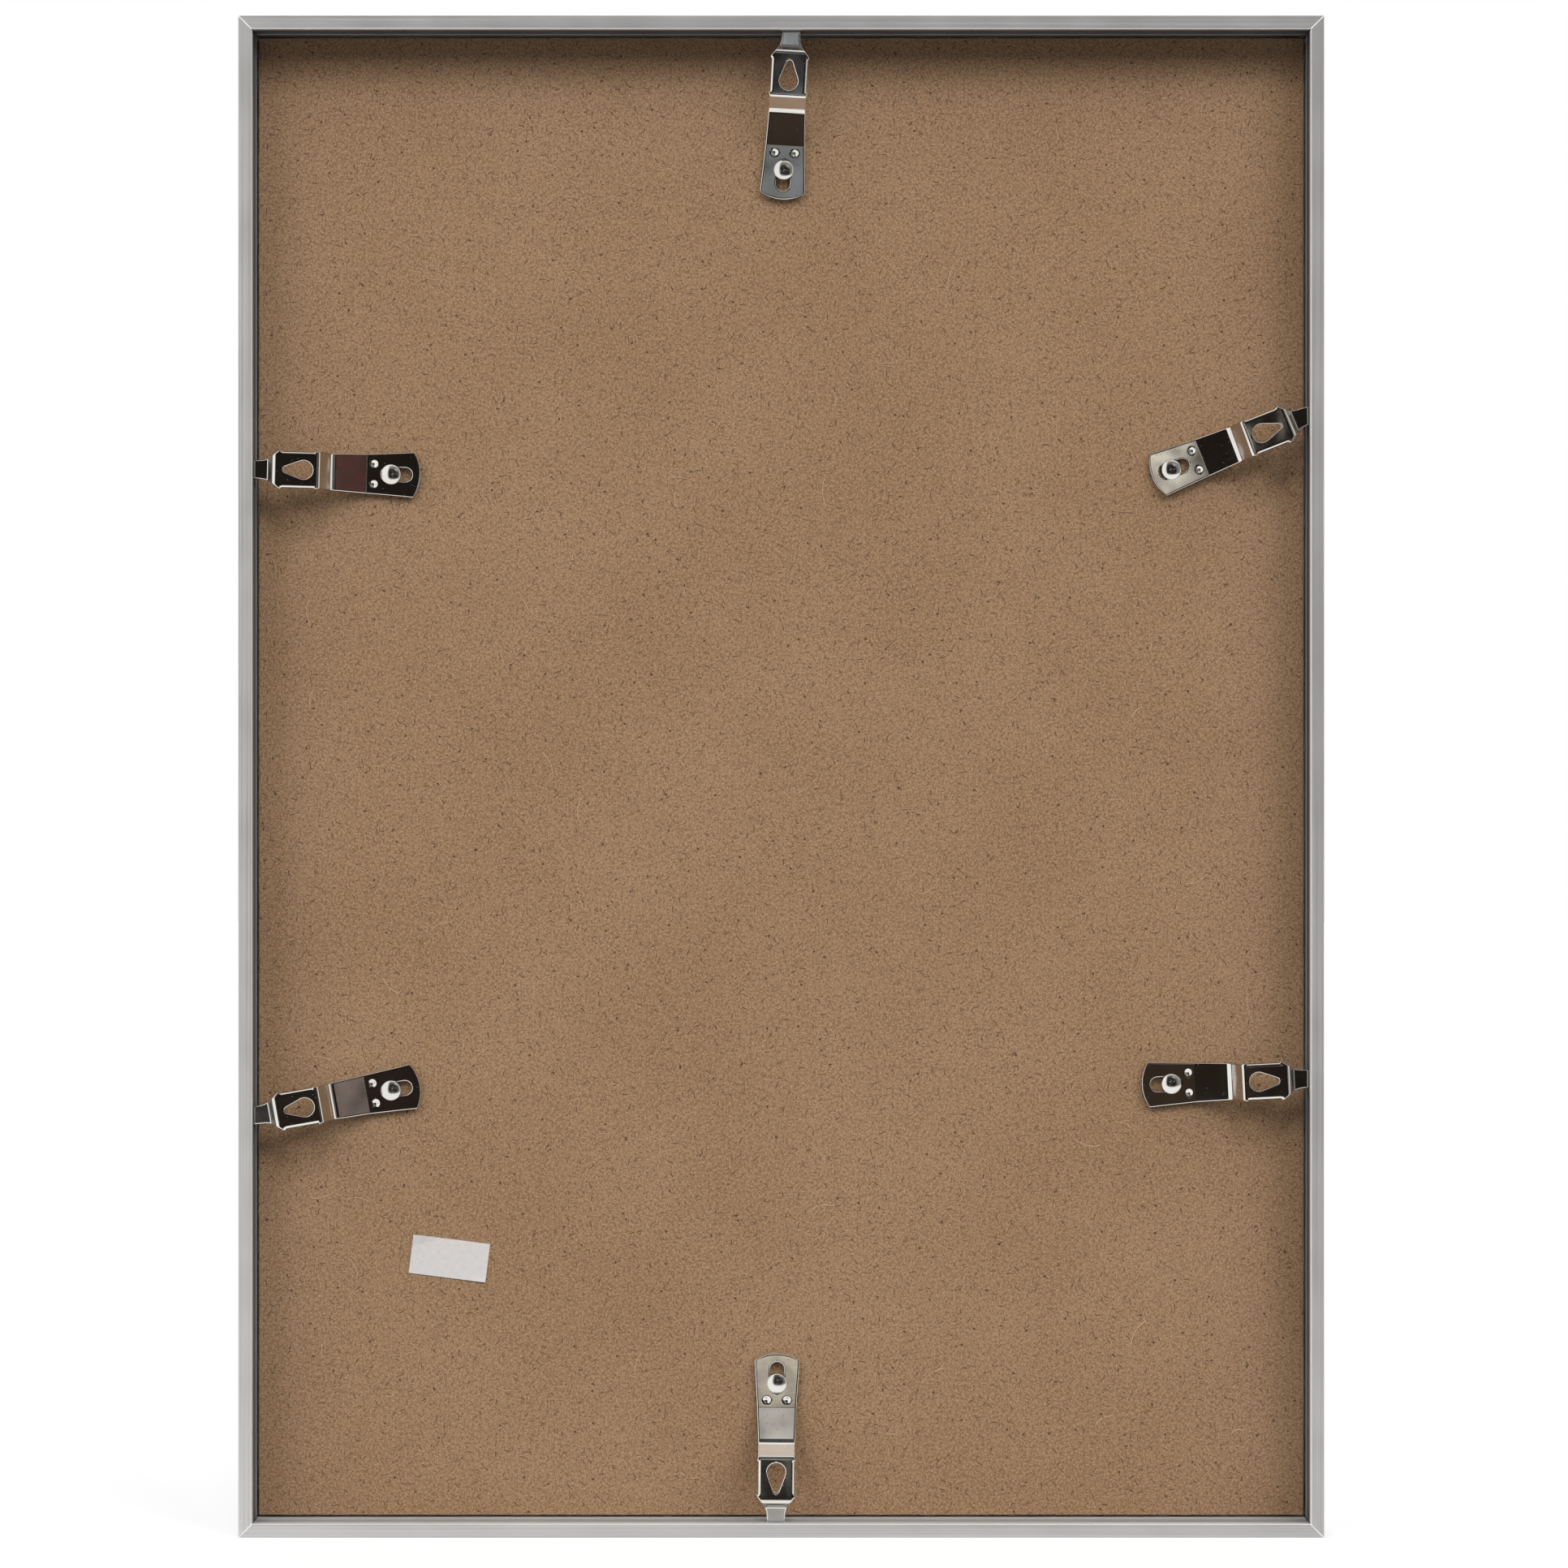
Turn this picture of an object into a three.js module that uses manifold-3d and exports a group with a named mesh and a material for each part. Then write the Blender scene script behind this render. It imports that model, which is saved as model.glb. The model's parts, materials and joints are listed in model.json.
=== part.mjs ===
// Slim A3 poster frame: four mitred aluminium rails, a glass, a picture sheet and a hardboard back
// that six spring clips hold in. Millimetres. +X is right and -Y is the front as the hung picture is
// seen, +Y is towards the wall and +Z is up. The origin is the middle of the top rail's back face.
import * as THREE from "three";
import { mergeVertices } from "three/addons/utils/BufferGeometryUtils.js";
import Module from "manifold-3d";

// Picture stack, from the front
const PICTURE_WIDTH = 297;
const PICTURE_HEIGHT = 420;
const GLASS_THICKNESS = 2;
const GLASS_ARRIS = 0.3;
const SHEET_THICKNESS = 0.3;
const BOARD_THICKNESS = 2.5;
const STACK_GAP = 0.1;
const EDGE_CLEARANCE = 0.7;

// Rail section
const RAIL_WIDTH = 4;
const FACE_WIDTH = 10;
const FRONT_THICKNESS = 1.5;
const OUTER_WALL = 1.2;
const INNER_WALL = 0.9;
const BACK_WALL = 1.2;
const LIP_DEPTH = 2.3;
const GROOVE_OPENING = 1.9;
const RIDGE_THICKNESS = 0.9;
const RIDGE_REACH = 0.45;
const BACK_RECESS = 8.3;
const LIP_RADIUS = 0.6;
const BACK_EDGE_RADIUS = 0.25;
const FACE_EDGE_RADIUS = 0.8;
const MITRE_GAP = 0.3;

// Corner keys: steel strip bent to an L, inside the rails' hollow chamber
const KEY_LEG = 30;
const KEY_CLEARANCE = 0.2;

// Spring clip: a flat tail, a gentle arch, a steep rise, a flat plateau, a sloping tongue and a flat tip
const CLIP_SHEET = 0.6;
const TAIL_LENGTH = 15.3;
const TAIL_WIDTH = 12.8;
const TAIL_BULGE = 2;
const FOLD_WIDTH = 11.2;
const FOLD_RADIUS = 0.8;
const ARCH_LENGTH = 10;
const ARCH_RISE = 2.3;
const KNEE_WIDTH = 10.4;
const KNEE_RADIUS = 2.6;
const RISE_LENGTH = 2.7;
const CREST_RADIUS = 1;
const PLATEAU_LENGTH = 12.6;
const PLATEAU_WIDTH = 10.4;
const PLATEAU_DROP = 0.35;
const FLANGE_FROM_CREST = 0.9;
const FLANGE_FROM_SHOULDER = 1.6;
const FLANGE_DEPTH = 1.3;
const ROLL_RADIUS = 1;
const SHOULDER_RADIUS = 1.2;
const TONGUE_LENGTH = 1.9;
const TONGUE_WIDTH = 5.3;
const TOE_RADIUS = 0.8;
const TIP_NARROWING = 2.1;
const TIP_LENGTH = 5.9;
const TIP_WIDTH = 4.9;
const TIP_CORNER = 0.6;
const BEND_STEPS = 5;

// Holes and dimples pressed in the clip
const SLOT_FROM_TAIL_END = 2.4;
const SLOT_LENGTH = 8.8;
const SLOT_CLEARANCE = 0.2;
const HANG_FROM_CREST = 4.3;
const HANG_RADIUS = 2.6;
const HANG_NECK_RADIUS = 0.9;
const HANG_NECK_OFFSET = 4.9;
const DIMPLE_FROM_FOLD = 2;
const DIMPLE_SPACING = 5.75;
const DIMPLE_DIAMETER = 2.4;
const DIMPLE_FLAT = 0.8;
const DIMPLE_DEPTH = 0.5;

// Clip rivet: domed head, shank through slot and board, tubular foot rolled over in a shallow recess
const RIVET_FROM_SLOT_END = 1;
const RIVET_HEAD = 5.6;
const RIVET_RIM = 0.35;
const RIVET_DOME = 0.85;
const RIVET_SHANK = 3.6;
const RIVET_FOOT = 6;
const RIVET_FOOT_THICKNESS = 0.5;
const RIVET_BORE = 2;
const RIVET_BORE_DEPTH = 1.6;
const RIVET_GAP = 0.15;
const ROUND_STEPS = 16;
const DOME_STEPS = 6;

// How the clips sit: gap to the board, to the lip above the tip and to the groove's bottom
const SEAT_GAP = 0.1;
const TIP_GAP = 0.15;
const TIP_CLEARANCE = 1.1;
const CORNER_CLEARANCE = 0.6;

// Clips: the way each points, its place as a share of the rail's length from the rail's middle, and its
// turn from square to the rail, in degrees
const CLIPS = [
  { name: "top", heading: -90, share: -0.0023, turn: -3.3 },
  { name: "bottom", heading: 90, share: 0.0039, turn: -0.5 },
  { name: "left_upper", heading: 180, share: 0.2031, turn: 21.4 },
  { name: "left_lower", heading: 180, share: -0.2033, turn: 2.8 },
  { name: "right_upper", heading: 0, share: 0.2, turn: -1.5 },
  { name: "right_lower", heading: 0, share: -0.2077, turn: 10 },
];
const SLID_OUT = "left_upper";

// Blank paper label stuck on the board
const LABEL_WIDTH = 22;
const LABEL_HEIGHT = 11;
const LABEL_THICKNESS = 0.12;
const LABEL_GAP = 0.05;
const LABEL_FROM_RIGHT = 54.1;
const LABEL_FROM_BOTTOM = 72.9;
const LABEL_TURN = -7.2;

// How far a cutter runs past the face it cuts, and how close two corners are to be one
const CUT_PAST = 1;
const SAME_POINT = 1e-4;

// Sizes that follow
const sideMargin = RAIL_WIDTH + EDGE_CLEARANCE;
const outerWidth = PICTURE_WIDTH + 2 * sideMargin;
const outerHeight = PICTURE_HEIGHT + 2 * sideMargin;
const boardBack = BACK_RECESS;
const sheetBack = boardBack + BOARD_THICKNESS + STACK_GAP;
const glassBack = sheetBack + SHEET_THICKNESS + STACK_GAP;
const frontInside = glassBack + GLASS_THICKNESS + STACK_GAP;
const frameDepth = frontInside + FRONT_THICKNESS;
const grooveEnd = LIP_DEPTH + GROOVE_OPENING;
const chamberStart = grooveEnd + RIDGE_THICKNESS;
const chamberWidth = RAIL_WIDTH - OUTER_WALL - INNER_WALL;

// Stations along the clip from its tail end
const foldStation = TAIL_LENGTH;
const kneeStation = foldStation + ARCH_LENGTH;
const crestStation = kneeStation + RISE_LENGTH;
const shoulderStation = crestStation + PLATEAU_LENGTH;
const toeStation = shoulderStation + TONGUE_LENGTH;
const narrowStation = toeStation + TIP_NARROWING;
const clipLength = toeStation + TIP_LENGTH;
const flangeStart = crestStation + FLANGE_FROM_CREST;
const flangeEnd = shoulderStation - FLANGE_FROM_SHOULDER;
const slotEnd = SLOT_FROM_TAIL_END + SLOT_LENGTH;
const rivetStation = slotEnd - RIVET_FROM_SLOT_END - RIVET_SHANK / 2;
const slotTravel = SLOT_LENGTH - RIVET_SHANK - RIVET_FROM_SLOT_END - SLOT_CLEARANCE;

// Heights above the board's back face of the middle of the clip's sheet
const tailHeight = SEAT_GAP + DIMPLE_DEPTH + CLIP_SHEET / 2;
const kneeHeight = tailHeight + ARCH_RISE;
const plateauHeight = BACK_RECESS - PLATEAU_DROP - CLIP_SHEET / 2;
const tipHeight = BACK_RECESS - LIP_DEPTH - TIP_GAP - CLIP_SHEET / 2;
const tailTop = tailHeight + CLIP_SHEET / 2;

// A clip square to its rail reaches from its rivet to TIP_CLEARANCE short of the groove's bottom
const clipReach = clipLength - rivetStation;
const rivetInset = OUTER_WALL + TIP_CLEARANCE + clipReach;

const aluminium = new THREE.MeshStandardMaterial({ color: 0xb4b4b2, roughness: 0.42, metalness: 0.9 });
const keySteel = new THREE.MeshStandardMaterial({ color: 0x8f9194, roughness: 0.5, metalness: 0.9 });
const nickel = new THREE.MeshStandardMaterial({ color: 0xc8c6c0, roughness: 0.18, metalness: 1 });
const hardboard = new THREE.MeshStandardMaterial({ color: 0x94765a, roughness: 0.85, metalness: 0 });
const paper = new THREE.MeshStandardMaterial({ color: 0xf2efe8, roughness: 0.9, metalness: 0 });
const glass = new THREE.MeshStandardMaterial({ color: 0xdfeeea, roughness: 0.03 });
glass.transparent = true;
glass.opacity = 0.25;

const wasm = await Module();
wasm.setup();

// A closed geometry as a solid that can be joined and cut
function solidFrom(geometry) {
  const bare = geometry.index ? geometry.toNonIndexed() : geometry.clone();
  bare.deleteAttribute("normal");
  bare.deleteAttribute("uv");
  const merged = mergeVertices(bare, SAME_POINT);
  const vertProperties = new Float32Array(merged.attributes.position.array);
  const triVerts = new Uint32Array(merged.index.array);
  return new wasm.Manifold(new wasm.Mesh({ numProp: 3, vertProperties, triVerts }));
}

function geometryFrom(solid) {
  const mesh = solid.getMesh();
  const geometry = new THREE.BufferGeometry();
  geometry.setAttribute("position", new THREE.BufferAttribute(mesh.vertProperties, 3));
  geometry.setIndex(new THREE.BufferAttribute(mesh.triVerts, 1));
  geometry.computeVertexNormals();
  return geometry;
}

function namedMesh(name, geometry, material) {
  const mesh = new THREE.Mesh(geometry, material);
  mesh.name = name;
  return mesh;
}

function extrude(shape, depth, curveSegments = 6) {
  return new THREE.ExtrudeGeometry(shape, { depth, curveSegments, bevelEnabled: false });
}

// Rail section: x runs inwards from the outer face, y from the back plane to the front
function railSection() {
  const shape = new THREE.Shape();
  const wallInside = RAIL_WIDTH - INNER_WALL;
  shape.moveTo(BACK_EDGE_RADIUS, 0);
  shape.absarc(RAIL_WIDTH - LIP_RADIUS, LIP_RADIUS, LIP_RADIUS, -Math.PI / 2, 0);
  shape.lineTo(RAIL_WIDTH, LIP_DEPTH);
  shape.lineTo(wallInside, LIP_DEPTH);
  shape.lineTo(wallInside, BACK_WALL);
  shape.lineTo(OUTER_WALL, BACK_WALL);
  shape.lineTo(OUTER_WALL, grooveEnd);
  shape.lineTo(RAIL_WIDTH + RIDGE_REACH, grooveEnd);
  shape.lineTo(RAIL_WIDTH + RIDGE_REACH, chamberStart);
  shape.lineTo(RAIL_WIDTH, chamberStart);
  shape.lineTo(RAIL_WIDTH, frontInside);
  shape.lineTo(FACE_WIDTH, frontInside);
  const faceCentre = frameDepth - FACE_EDGE_RADIUS;
  shape.absarc(FACE_WIDTH - FACE_EDGE_RADIUS, faceCentre, FACE_EDGE_RADIUS, 0, Math.PI / 2);
  shape.absarc(FACE_EDGE_RADIUS, faceCentre, FACE_EDGE_RADIUS, Math.PI / 2, Math.PI);
  shape.absarc(BACK_EDGE_RADIUS, BACK_EDGE_RADIUS, BACK_EDGE_RADIUS, Math.PI, 1.5 * Math.PI);
  const chamber = new THREE.Path();
  chamber.moveTo(OUTER_WALL, chamberStart);
  chamber.lineTo(OUTER_WALL, frontInside);
  chamber.lineTo(wallInside, frontInside);
  chamber.lineTo(wallInside, chamberStart);
  chamber.closePath();
  shape.holes.push(chamber);
  return shape;
}

// A rail along X with its outer face at z = 0: each end runs back with the distance inwards, as a mitre
function railGeometry(length) {
  const geometry = extrude(railSection(), 1);
  const position = geometry.attributes.position;
  const setBack = MITRE_GAP / Math.SQRT2;
  for (let i = 0; i < position.count; i++) {
    const inwards = position.getX(i);
    const depth = position.getY(i);
    const end = position.getZ(i) * 2 - 1;
    position.setXYZ(i, end * (length / 2 - inwards - setBack), -depth, inwards);
  }
  geometry.computeVertexNormals();
  return geometry;
}

function makeRails() {
  const places = [
    { name: "rail_bottom", length: outerWidth, x: 0, z: -outerHeight / 2, turn: 0 },
    { name: "rail_left", length: outerHeight, x: -outerWidth / 2, z: 0, turn: Math.PI / 2 },
    { name: "rail_top", length: outerWidth, x: 0, z: outerHeight / 2, turn: Math.PI },
    { name: "rail_right", length: outerHeight, x: outerWidth / 2, z: 0, turn: -Math.PI / 2 },
  ];
  return places.map(({ name, length, x, z, turn }) => {
    const rail = namedMesh(name, railGeometry(length), aluminium);
    rail.position.set(x, 0, z);
    rail.rotation.y = turn;
    return rail;
  });
}

// An L of strip with its bend at the lower left, standing in the chamber of two rails
function makeCornerKeys() {
  const thickness = chamberWidth - 2 * KEY_CLEARANCE;
  const shape = new THREE.Shape();
  shape.moveTo(0, 0);
  shape.lineTo(KEY_LEG, 0);
  shape.lineTo(KEY_LEG, thickness);
  shape.lineTo(thickness, thickness);
  shape.lineTo(thickness, KEY_LEG);
  shape.lineTo(0, KEY_LEG);
  const height = frontInside - chamberStart - 2 * KEY_CLEARANCE;
  const inset = OUTER_WALL + KEY_CLEARANCE;
  const corners = [
    { name: "corner_key_bottom_left", x: -1, z: -1, turn: 0 },
    { name: "corner_key_top_left", x: -1, z: 1, turn: Math.PI / 2 },
    { name: "corner_key_top_right", x: 1, z: 1, turn: Math.PI },
    { name: "corner_key_bottom_right", x: 1, z: -1, turn: -Math.PI / 2 },
  ];
  return corners.map(({ name, x, z, turn }) => {
    const geometry = extrude(shape, height).rotateX(Math.PI / 2);
    const key = namedMesh(name, geometry, keySteel);
    const back = -(chamberStart + KEY_CLEARANCE);
    key.position.set(x * (outerWidth / 2 - inset), back, z * (outerHeight / 2 - inset));
    key.rotation.y = turn;
    return key;
  });
}

// A picture-sized plate whose back face lies at the given depth
function plate(thickness, backDepth) {
  const geometry = new THREE.BoxGeometry(PICTURE_WIDTH, thickness, PICTURE_HEIGHT);
  return geometry.translate(0, -backDepth - thickness / 2, 0);
}

// The glass has its sharp edges ground off
function glassGeometry() {
  const halfWidth = PICTURE_WIDTH / 2 - GLASS_ARRIS;
  const halfHeight = PICTURE_HEIGHT / 2 - GLASS_ARRIS;
  const shape = new THREE.Shape();
  shape.moveTo(-halfWidth, -halfHeight);
  shape.lineTo(halfWidth, -halfHeight);
  shape.lineTo(halfWidth, halfHeight);
  shape.lineTo(-halfWidth, halfHeight);
  const geometry = new THREE.ExtrudeGeometry(shape, {
    depth: GLASS_THICKNESS - 2 * GLASS_ARRIS,
    bevelEnabled: true,
    bevelSegments: 1,
    bevelSize: GLASS_ARRIS,
    bevelThickness: GLASS_ARRIS,
  });
  return geometry.rotateX(Math.PI / 2).translate(0, -glassBack - GLASS_ARRIS, 0);
}

function roundBar(diameter, from, to) {
  const bar = new THREE.CylinderGeometry(diameter / 2, diameter / 2, to - from, ROUND_STEPS);
  return bar.translate(0, (from + to) / 2, 0);
}

// Where a clip's rivet goes through the board, and how far round its clip is turned
function clipPlace({ name, heading, share, turn }) {
  const upright = Math.abs(heading) === 90;
  const side = Math.sign(upright ? -heading : 90 - heading);
  const reach = (upright ? outerHeight : outerWidth) / 2 - rivetInset;
  const along = share * (upright ? outerWidth : outerHeight);
  return {
    x: upright ? along : side * reach,
    z: upright ? side * reach : along,
    angle: THREE.MathUtils.degToRad(heading + turn),
    slide: name === SLID_OUT ? slideOut(THREE.MathUtils.degToRad(turn)) : 0,
  };
}

// A turned clip slides out until its leading corner is CORNER_CLEARANCE from the groove's bottom, or
// until its rivet comes to the slot's other end
function slideOut(turn) {
  const room = clipReach + TIP_CLEARANCE - CORNER_CLEARANCE;
  const corner = (TIP_WIDTH / 2) * Math.abs(Math.sin(turn));
  return Math.min((room - corner) / Math.cos(turn) - clipReach, slotTravel);
}

// Hardboard with a hole for each rivet, recessed at the front for the rivet's foot
function boardGeometry() {
  let board = solidFrom(plate(BOARD_THICKNESS, boardBack));
  const front = -boardBack - BOARD_THICKNESS;
  const recess = front + RIVET_FOOT_THICKNESS + 2 * RIVET_GAP;
  for (const clip of CLIPS) {
    const { x, z } = clipPlace(clip);
    const hole = roundBar(RIVET_SHANK + 2 * RIVET_GAP, front - CUT_PAST, CUT_PAST - boardBack);
    const sink = roundBar(RIVET_FOOT + 2 * RIVET_GAP, front - CUT_PAST, recess);
    board = board.subtract(solidFrom(hole.translate(x, 0, z)));
    board = board.subtract(solidFrom(sink.translate(x, 0, z)));
  }
  return geometryFrom(board);
}

// Rivet on the Y axis, with y = 0 on the board's back face
function rivetGeometry() {
  const foot = RIVET_GAP - BOARD_THICKNESS;
  const footTop = foot + RIVET_FOOT_THICKNESS;
  const headBase = tailTop + RIVET_GAP;
  const rim = headBase + RIVET_RIM;
  const profile = [
    new THREE.Vector2(0, foot + RIVET_BORE_DEPTH),
    new THREE.Vector2(RIVET_BORE / 2, foot + RIVET_BORE_DEPTH),
    new THREE.Vector2(RIVET_BORE / 2, foot),
    new THREE.Vector2(RIVET_FOOT / 2, foot),
    new THREE.Vector2(RIVET_FOOT / 2, footTop),
    new THREE.Vector2(RIVET_SHANK / 2, footTop),
    new THREE.Vector2(RIVET_SHANK / 2, headBase),
    new THREE.Vector2(RIVET_HEAD / 2, headBase),
  ];
  const ballRadius = ((RIVET_HEAD / 2) ** 2 + RIVET_DOME ** 2) / (2 * RIVET_DOME);
  const capAngle = Math.asin(RIVET_HEAD / 2 / ballRadius);
  for (let i = 0; i < DOME_STEPS; i++) {
    const angle = capAngle * (1 - i / DOME_STEPS);
    const drop = ballRadius * (1 - Math.cos(angle));
    profile.push(new THREE.Vector2(ballRadius * Math.sin(angle), rim + RIVET_DOME - drop));
  }
  profile.push(new THREE.Vector2(0, rim + RIVET_DOME));
  return new THREE.LatheGeometry(profile, ROUND_STEPS);
}

// Side view of the clip: a strip of even thickness that bends at each corner of its middle line
function bentStrip(corners) {
  const upper = [];
  const lower = [];
  const place = (point, normal) => {
    upper.push(point.clone().addScaledVector(normal, CLIP_SHEET / 2));
    lower.push(point.clone().addScaledVector(normal, -CLIP_SHEET / 2));
  };
  const leftOf = (direction) => new THREE.Vector2(-direction.y, direction.x);
  corners.forEach(({ at, radius }, i) => {
    const before = i > 0 ? at.clone().sub(corners[i - 1].at).normalize() : null;
    const after = i < corners.length - 1 ? corners[i + 1].at.clone().sub(at).normalize() : null;
    if (!before || !after) {
      place(at, leftOf(before ?? after));
      return;
    }
    const bend = Math.atan2(before.cross(after), before.dot(after));
    const start = at.clone().addScaledVector(before, -radius * Math.tan(Math.abs(bend) / 2));
    const centre = start.addScaledVector(leftOf(before), radius * Math.sign(bend));
    for (let step = 0; step <= BEND_STEPS; step++) {
      const normal = leftOf(before).rotateAround(new THREE.Vector2(), (bend * step) / BEND_STEPS);
      place(centre.clone().addScaledVector(normal, -radius * Math.sign(bend)), normal);
    }
  });
  return new THREE.Shape([...lower, ...upper.reverse()]);
}

function clipSideView() {
  return bentStrip([
    { at: new THREE.Vector2(0, tailHeight) },
    { at: new THREE.Vector2(foldStation, tailHeight), radius: FOLD_RADIUS },
    { at: new THREE.Vector2(kneeStation, kneeHeight), radius: KNEE_RADIUS },
    { at: new THREE.Vector2(crestStation, plateauHeight), radius: CREST_RADIUS },
    { at: new THREE.Vector2(shoulderStation, plateauHeight), radius: SHOULDER_RADIUS },
    { at: new THREE.Vector2(toeStation, tipHeight), radius: TOE_RADIUS },
    { at: new THREE.Vector2(clipLength, tipHeight) },
  ]);
}

// Plan view of the clip: bulged tail, tapered body and a tongue that narrows to the tip. The plateau is
// only as wide as its flat here, because its rolled edges are a section of their own.
function clipPlanView() {
  const flat = PLATEAU_WIDTH / 2 - ROLL_RADIUS;
  const side = [
    [TAIL_BULGE, TAIL_WIDTH / 2],
    [foldStation, FOLD_WIDTH / 2],
    [kneeStation, KNEE_WIDTH / 2],
    [flangeStart, PLATEAU_WIDTH / 2],
    [flangeStart, flat],
    [flangeEnd, flat],
    [flangeEnd, PLATEAU_WIDTH / 2],
  ];
  const shape = new THREE.Shape();
  shape.moveTo(TAIL_BULGE, -TAIL_WIDTH / 2);
  side.slice(1).forEach(([station, half]) => shape.lineTo(station, -half));
  shape.quadraticCurveTo(toeStation, -TONGUE_WIDTH / 2, narrowStation, -TONGUE_WIDTH / 2);
  shape.lineTo(clipLength - TIP_CORNER, -TIP_WIDTH / 2);
  shape.lineTo(clipLength, TIP_CORNER - TIP_WIDTH / 2);
  shape.lineTo(clipLength, TIP_WIDTH / 2 - TIP_CORNER);
  shape.lineTo(clipLength - TIP_CORNER, TIP_WIDTH / 2);
  shape.lineTo(narrowStation, TONGUE_WIDTH / 2);
  shape.quadraticCurveTo(toeStation, TONGUE_WIDTH / 2, flangeEnd, PLATEAU_WIDTH / 2);
  side.toReversed().forEach(([station, half]) => shape.lineTo(station, half));
  const tailRadius = ((TAIL_WIDTH / 2) ** 2 + TAIL_BULGE ** 2) / (2 * TAIL_BULGE);
  const spread = Math.asin(TAIL_WIDTH / 2 / tailRadius);
  shape.absarc(tailRadius, 0, tailRadius, Math.PI - spread, Math.PI + spread);
  return shape;
}

// Slot along the clip for the rivet's shank, and the teardrop hole that hangs on a nail
function clipSlot() {
  const radius = RIVET_SHANK / 2 + SLOT_CLEARANCE;
  const shape = new THREE.Shape();
  shape.absarc(SLOT_FROM_TAIL_END + radius, 0, radius, Math.PI / 2, 1.5 * Math.PI);
  shape.absarc(slotEnd - radius, 0, radius, -Math.PI / 2, Math.PI / 2);
  return shape;
}

function clipTeardrop() {
  const lean = Math.asin((HANG_RADIUS - HANG_NECK_RADIUS) / HANG_NECK_OFFSET);
  const tangent = Math.PI / 2 - lean;
  const station = crestStation + HANG_FROM_CREST;
  const shape = new THREE.Shape();
  shape.absarc(station, 0, HANG_RADIUS, tangent, 2 * Math.PI - tangent);
  shape.absarc(station + HANG_NECK_OFFSET, 0, HANG_NECK_RADIUS, -tangent, tangent);
  return shape;
}

// Section across the plateau: a flat top with both edges rolled down
function plateauSection() {
  const top = plateauHeight + CLIP_SHEET / 2;
  const half = PLATEAU_WIDTH / 2;
  const flat = half - ROLL_RADIUS;
  const bottom = top - FLANGE_DEPTH;
  const inner = ROLL_RADIUS - CLIP_SHEET;
  const shape = new THREE.Shape();
  shape.moveTo(half, bottom);
  shape.absarc(flat, top - ROLL_RADIUS, ROLL_RADIUS, 0, Math.PI / 2);
  shape.absarc(-flat, top - ROLL_RADIUS, ROLL_RADIUS, Math.PI / 2, Math.PI);
  shape.lineTo(-half, bottom);
  shape.lineTo(CLIP_SHEET - half, bottom);
  shape.absarc(-flat, top - ROLL_RADIUS, inner, Math.PI, Math.PI / 2, true);
  shape.absarc(flat, top - ROLL_RADIUS, inner, Math.PI / 2, 0, true);
  shape.lineTo(half - CLIP_SHEET, bottom);
  return shape;
}

// Bump below and dent above of one pressed dimple, on the Y axis with y = 0 on the sheet's underside
function dimpleBump() {
  const profile = [
    new THREE.Vector2(0, -DIMPLE_DEPTH),
    new THREE.Vector2(DIMPLE_FLAT / 2, -DIMPLE_DEPTH),
    new THREE.Vector2(DIMPLE_DIAMETER / 2, 0),
    new THREE.Vector2(DIMPLE_DIAMETER / 2, CLIP_SHEET / 2),
    new THREE.Vector2(0, CLIP_SHEET / 2),
  ];
  return new THREE.LatheGeometry(profile, ROUND_STEPS / 2);
}

function dimpleDent() {
  const bottom = CLIP_SHEET - DIMPLE_DEPTH;
  const profile = [
    new THREE.Vector2(0, bottom),
    new THREE.Vector2(DIMPLE_FLAT / 2, bottom),
    new THREE.Vector2(DIMPLE_DIAMETER / 2, CLIP_SHEET),
    new THREE.Vector2(DIMPLE_DIAMETER / 2, 2 * CLIP_SHEET),
    new THREE.Vector2(0, 2 * CLIP_SHEET),
  ];
  return new THREE.LatheGeometry(profile, ROUND_STEPS / 2);
}

// A plan-view shape as a prism from below the board's face to above the plateau
function planPrism(shape) {
  const tall = BACK_RECESS + 2 * CLIP_SHEET;
  return solidFrom(extrude(shape, tall).rotateX(-Math.PI / 2).translate(0, -CLIP_SHEET, 0));
}

// The clip with its tail end at x = 0 and its tip towards +x, above the board's back face at y = 0
function clipGeometry() {
  const strip = extrude(clipSideView(), 2 * TAIL_WIDTH).translate(0, 0, -TAIL_WIDTH);
  const rolled = extrude(plateauSection(), flangeEnd - flangeStart).rotateY(Math.PI / 2);
  let clip = solidFrom(strip).intersect(planPrism(clipPlanView()));
  clip = clip.add(solidFrom(rolled.translate(flangeStart, 0, 0)));
  const underside = tailHeight - CLIP_SHEET / 2;
  const dimpleStation = foldStation - DIMPLE_FROM_FOLD;
  for (const side of [-1, 1]) {
    const across = (side * DIMPLE_SPACING) / 2;
    clip = clip.add(solidFrom(dimpleBump().translate(dimpleStation, underside, across)));
    clip = clip.subtract(solidFrom(dimpleDent().translate(dimpleStation, underside, across)));
  }
  clip = clip.subtract(planPrism(clipSlot())).subtract(planPrism(clipTeardrop()));
  return geometryFrom(clip);
}

// Each clip turns with its rivet and slides along it
function makeClips() {
  const clipShape = clipGeometry();
  const rivetShape = rivetGeometry();
  return CLIPS.map((entry) => {
    const { x, z, angle, slide } = clipPlace(entry);
    const pivot = new THREE.Group();
    pivot.position.set(x, -boardBack, z);
    pivot.rotation.y = angle;
    const clip = namedMesh(`clip_${entry.name}`, clipShape, nickel);
    clip.position.x = slide - rivetStation;
    pivot.add(clip, namedMesh(`rivet_${entry.name}`, rivetShape, nickel));
    return pivot;
  });
}

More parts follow.
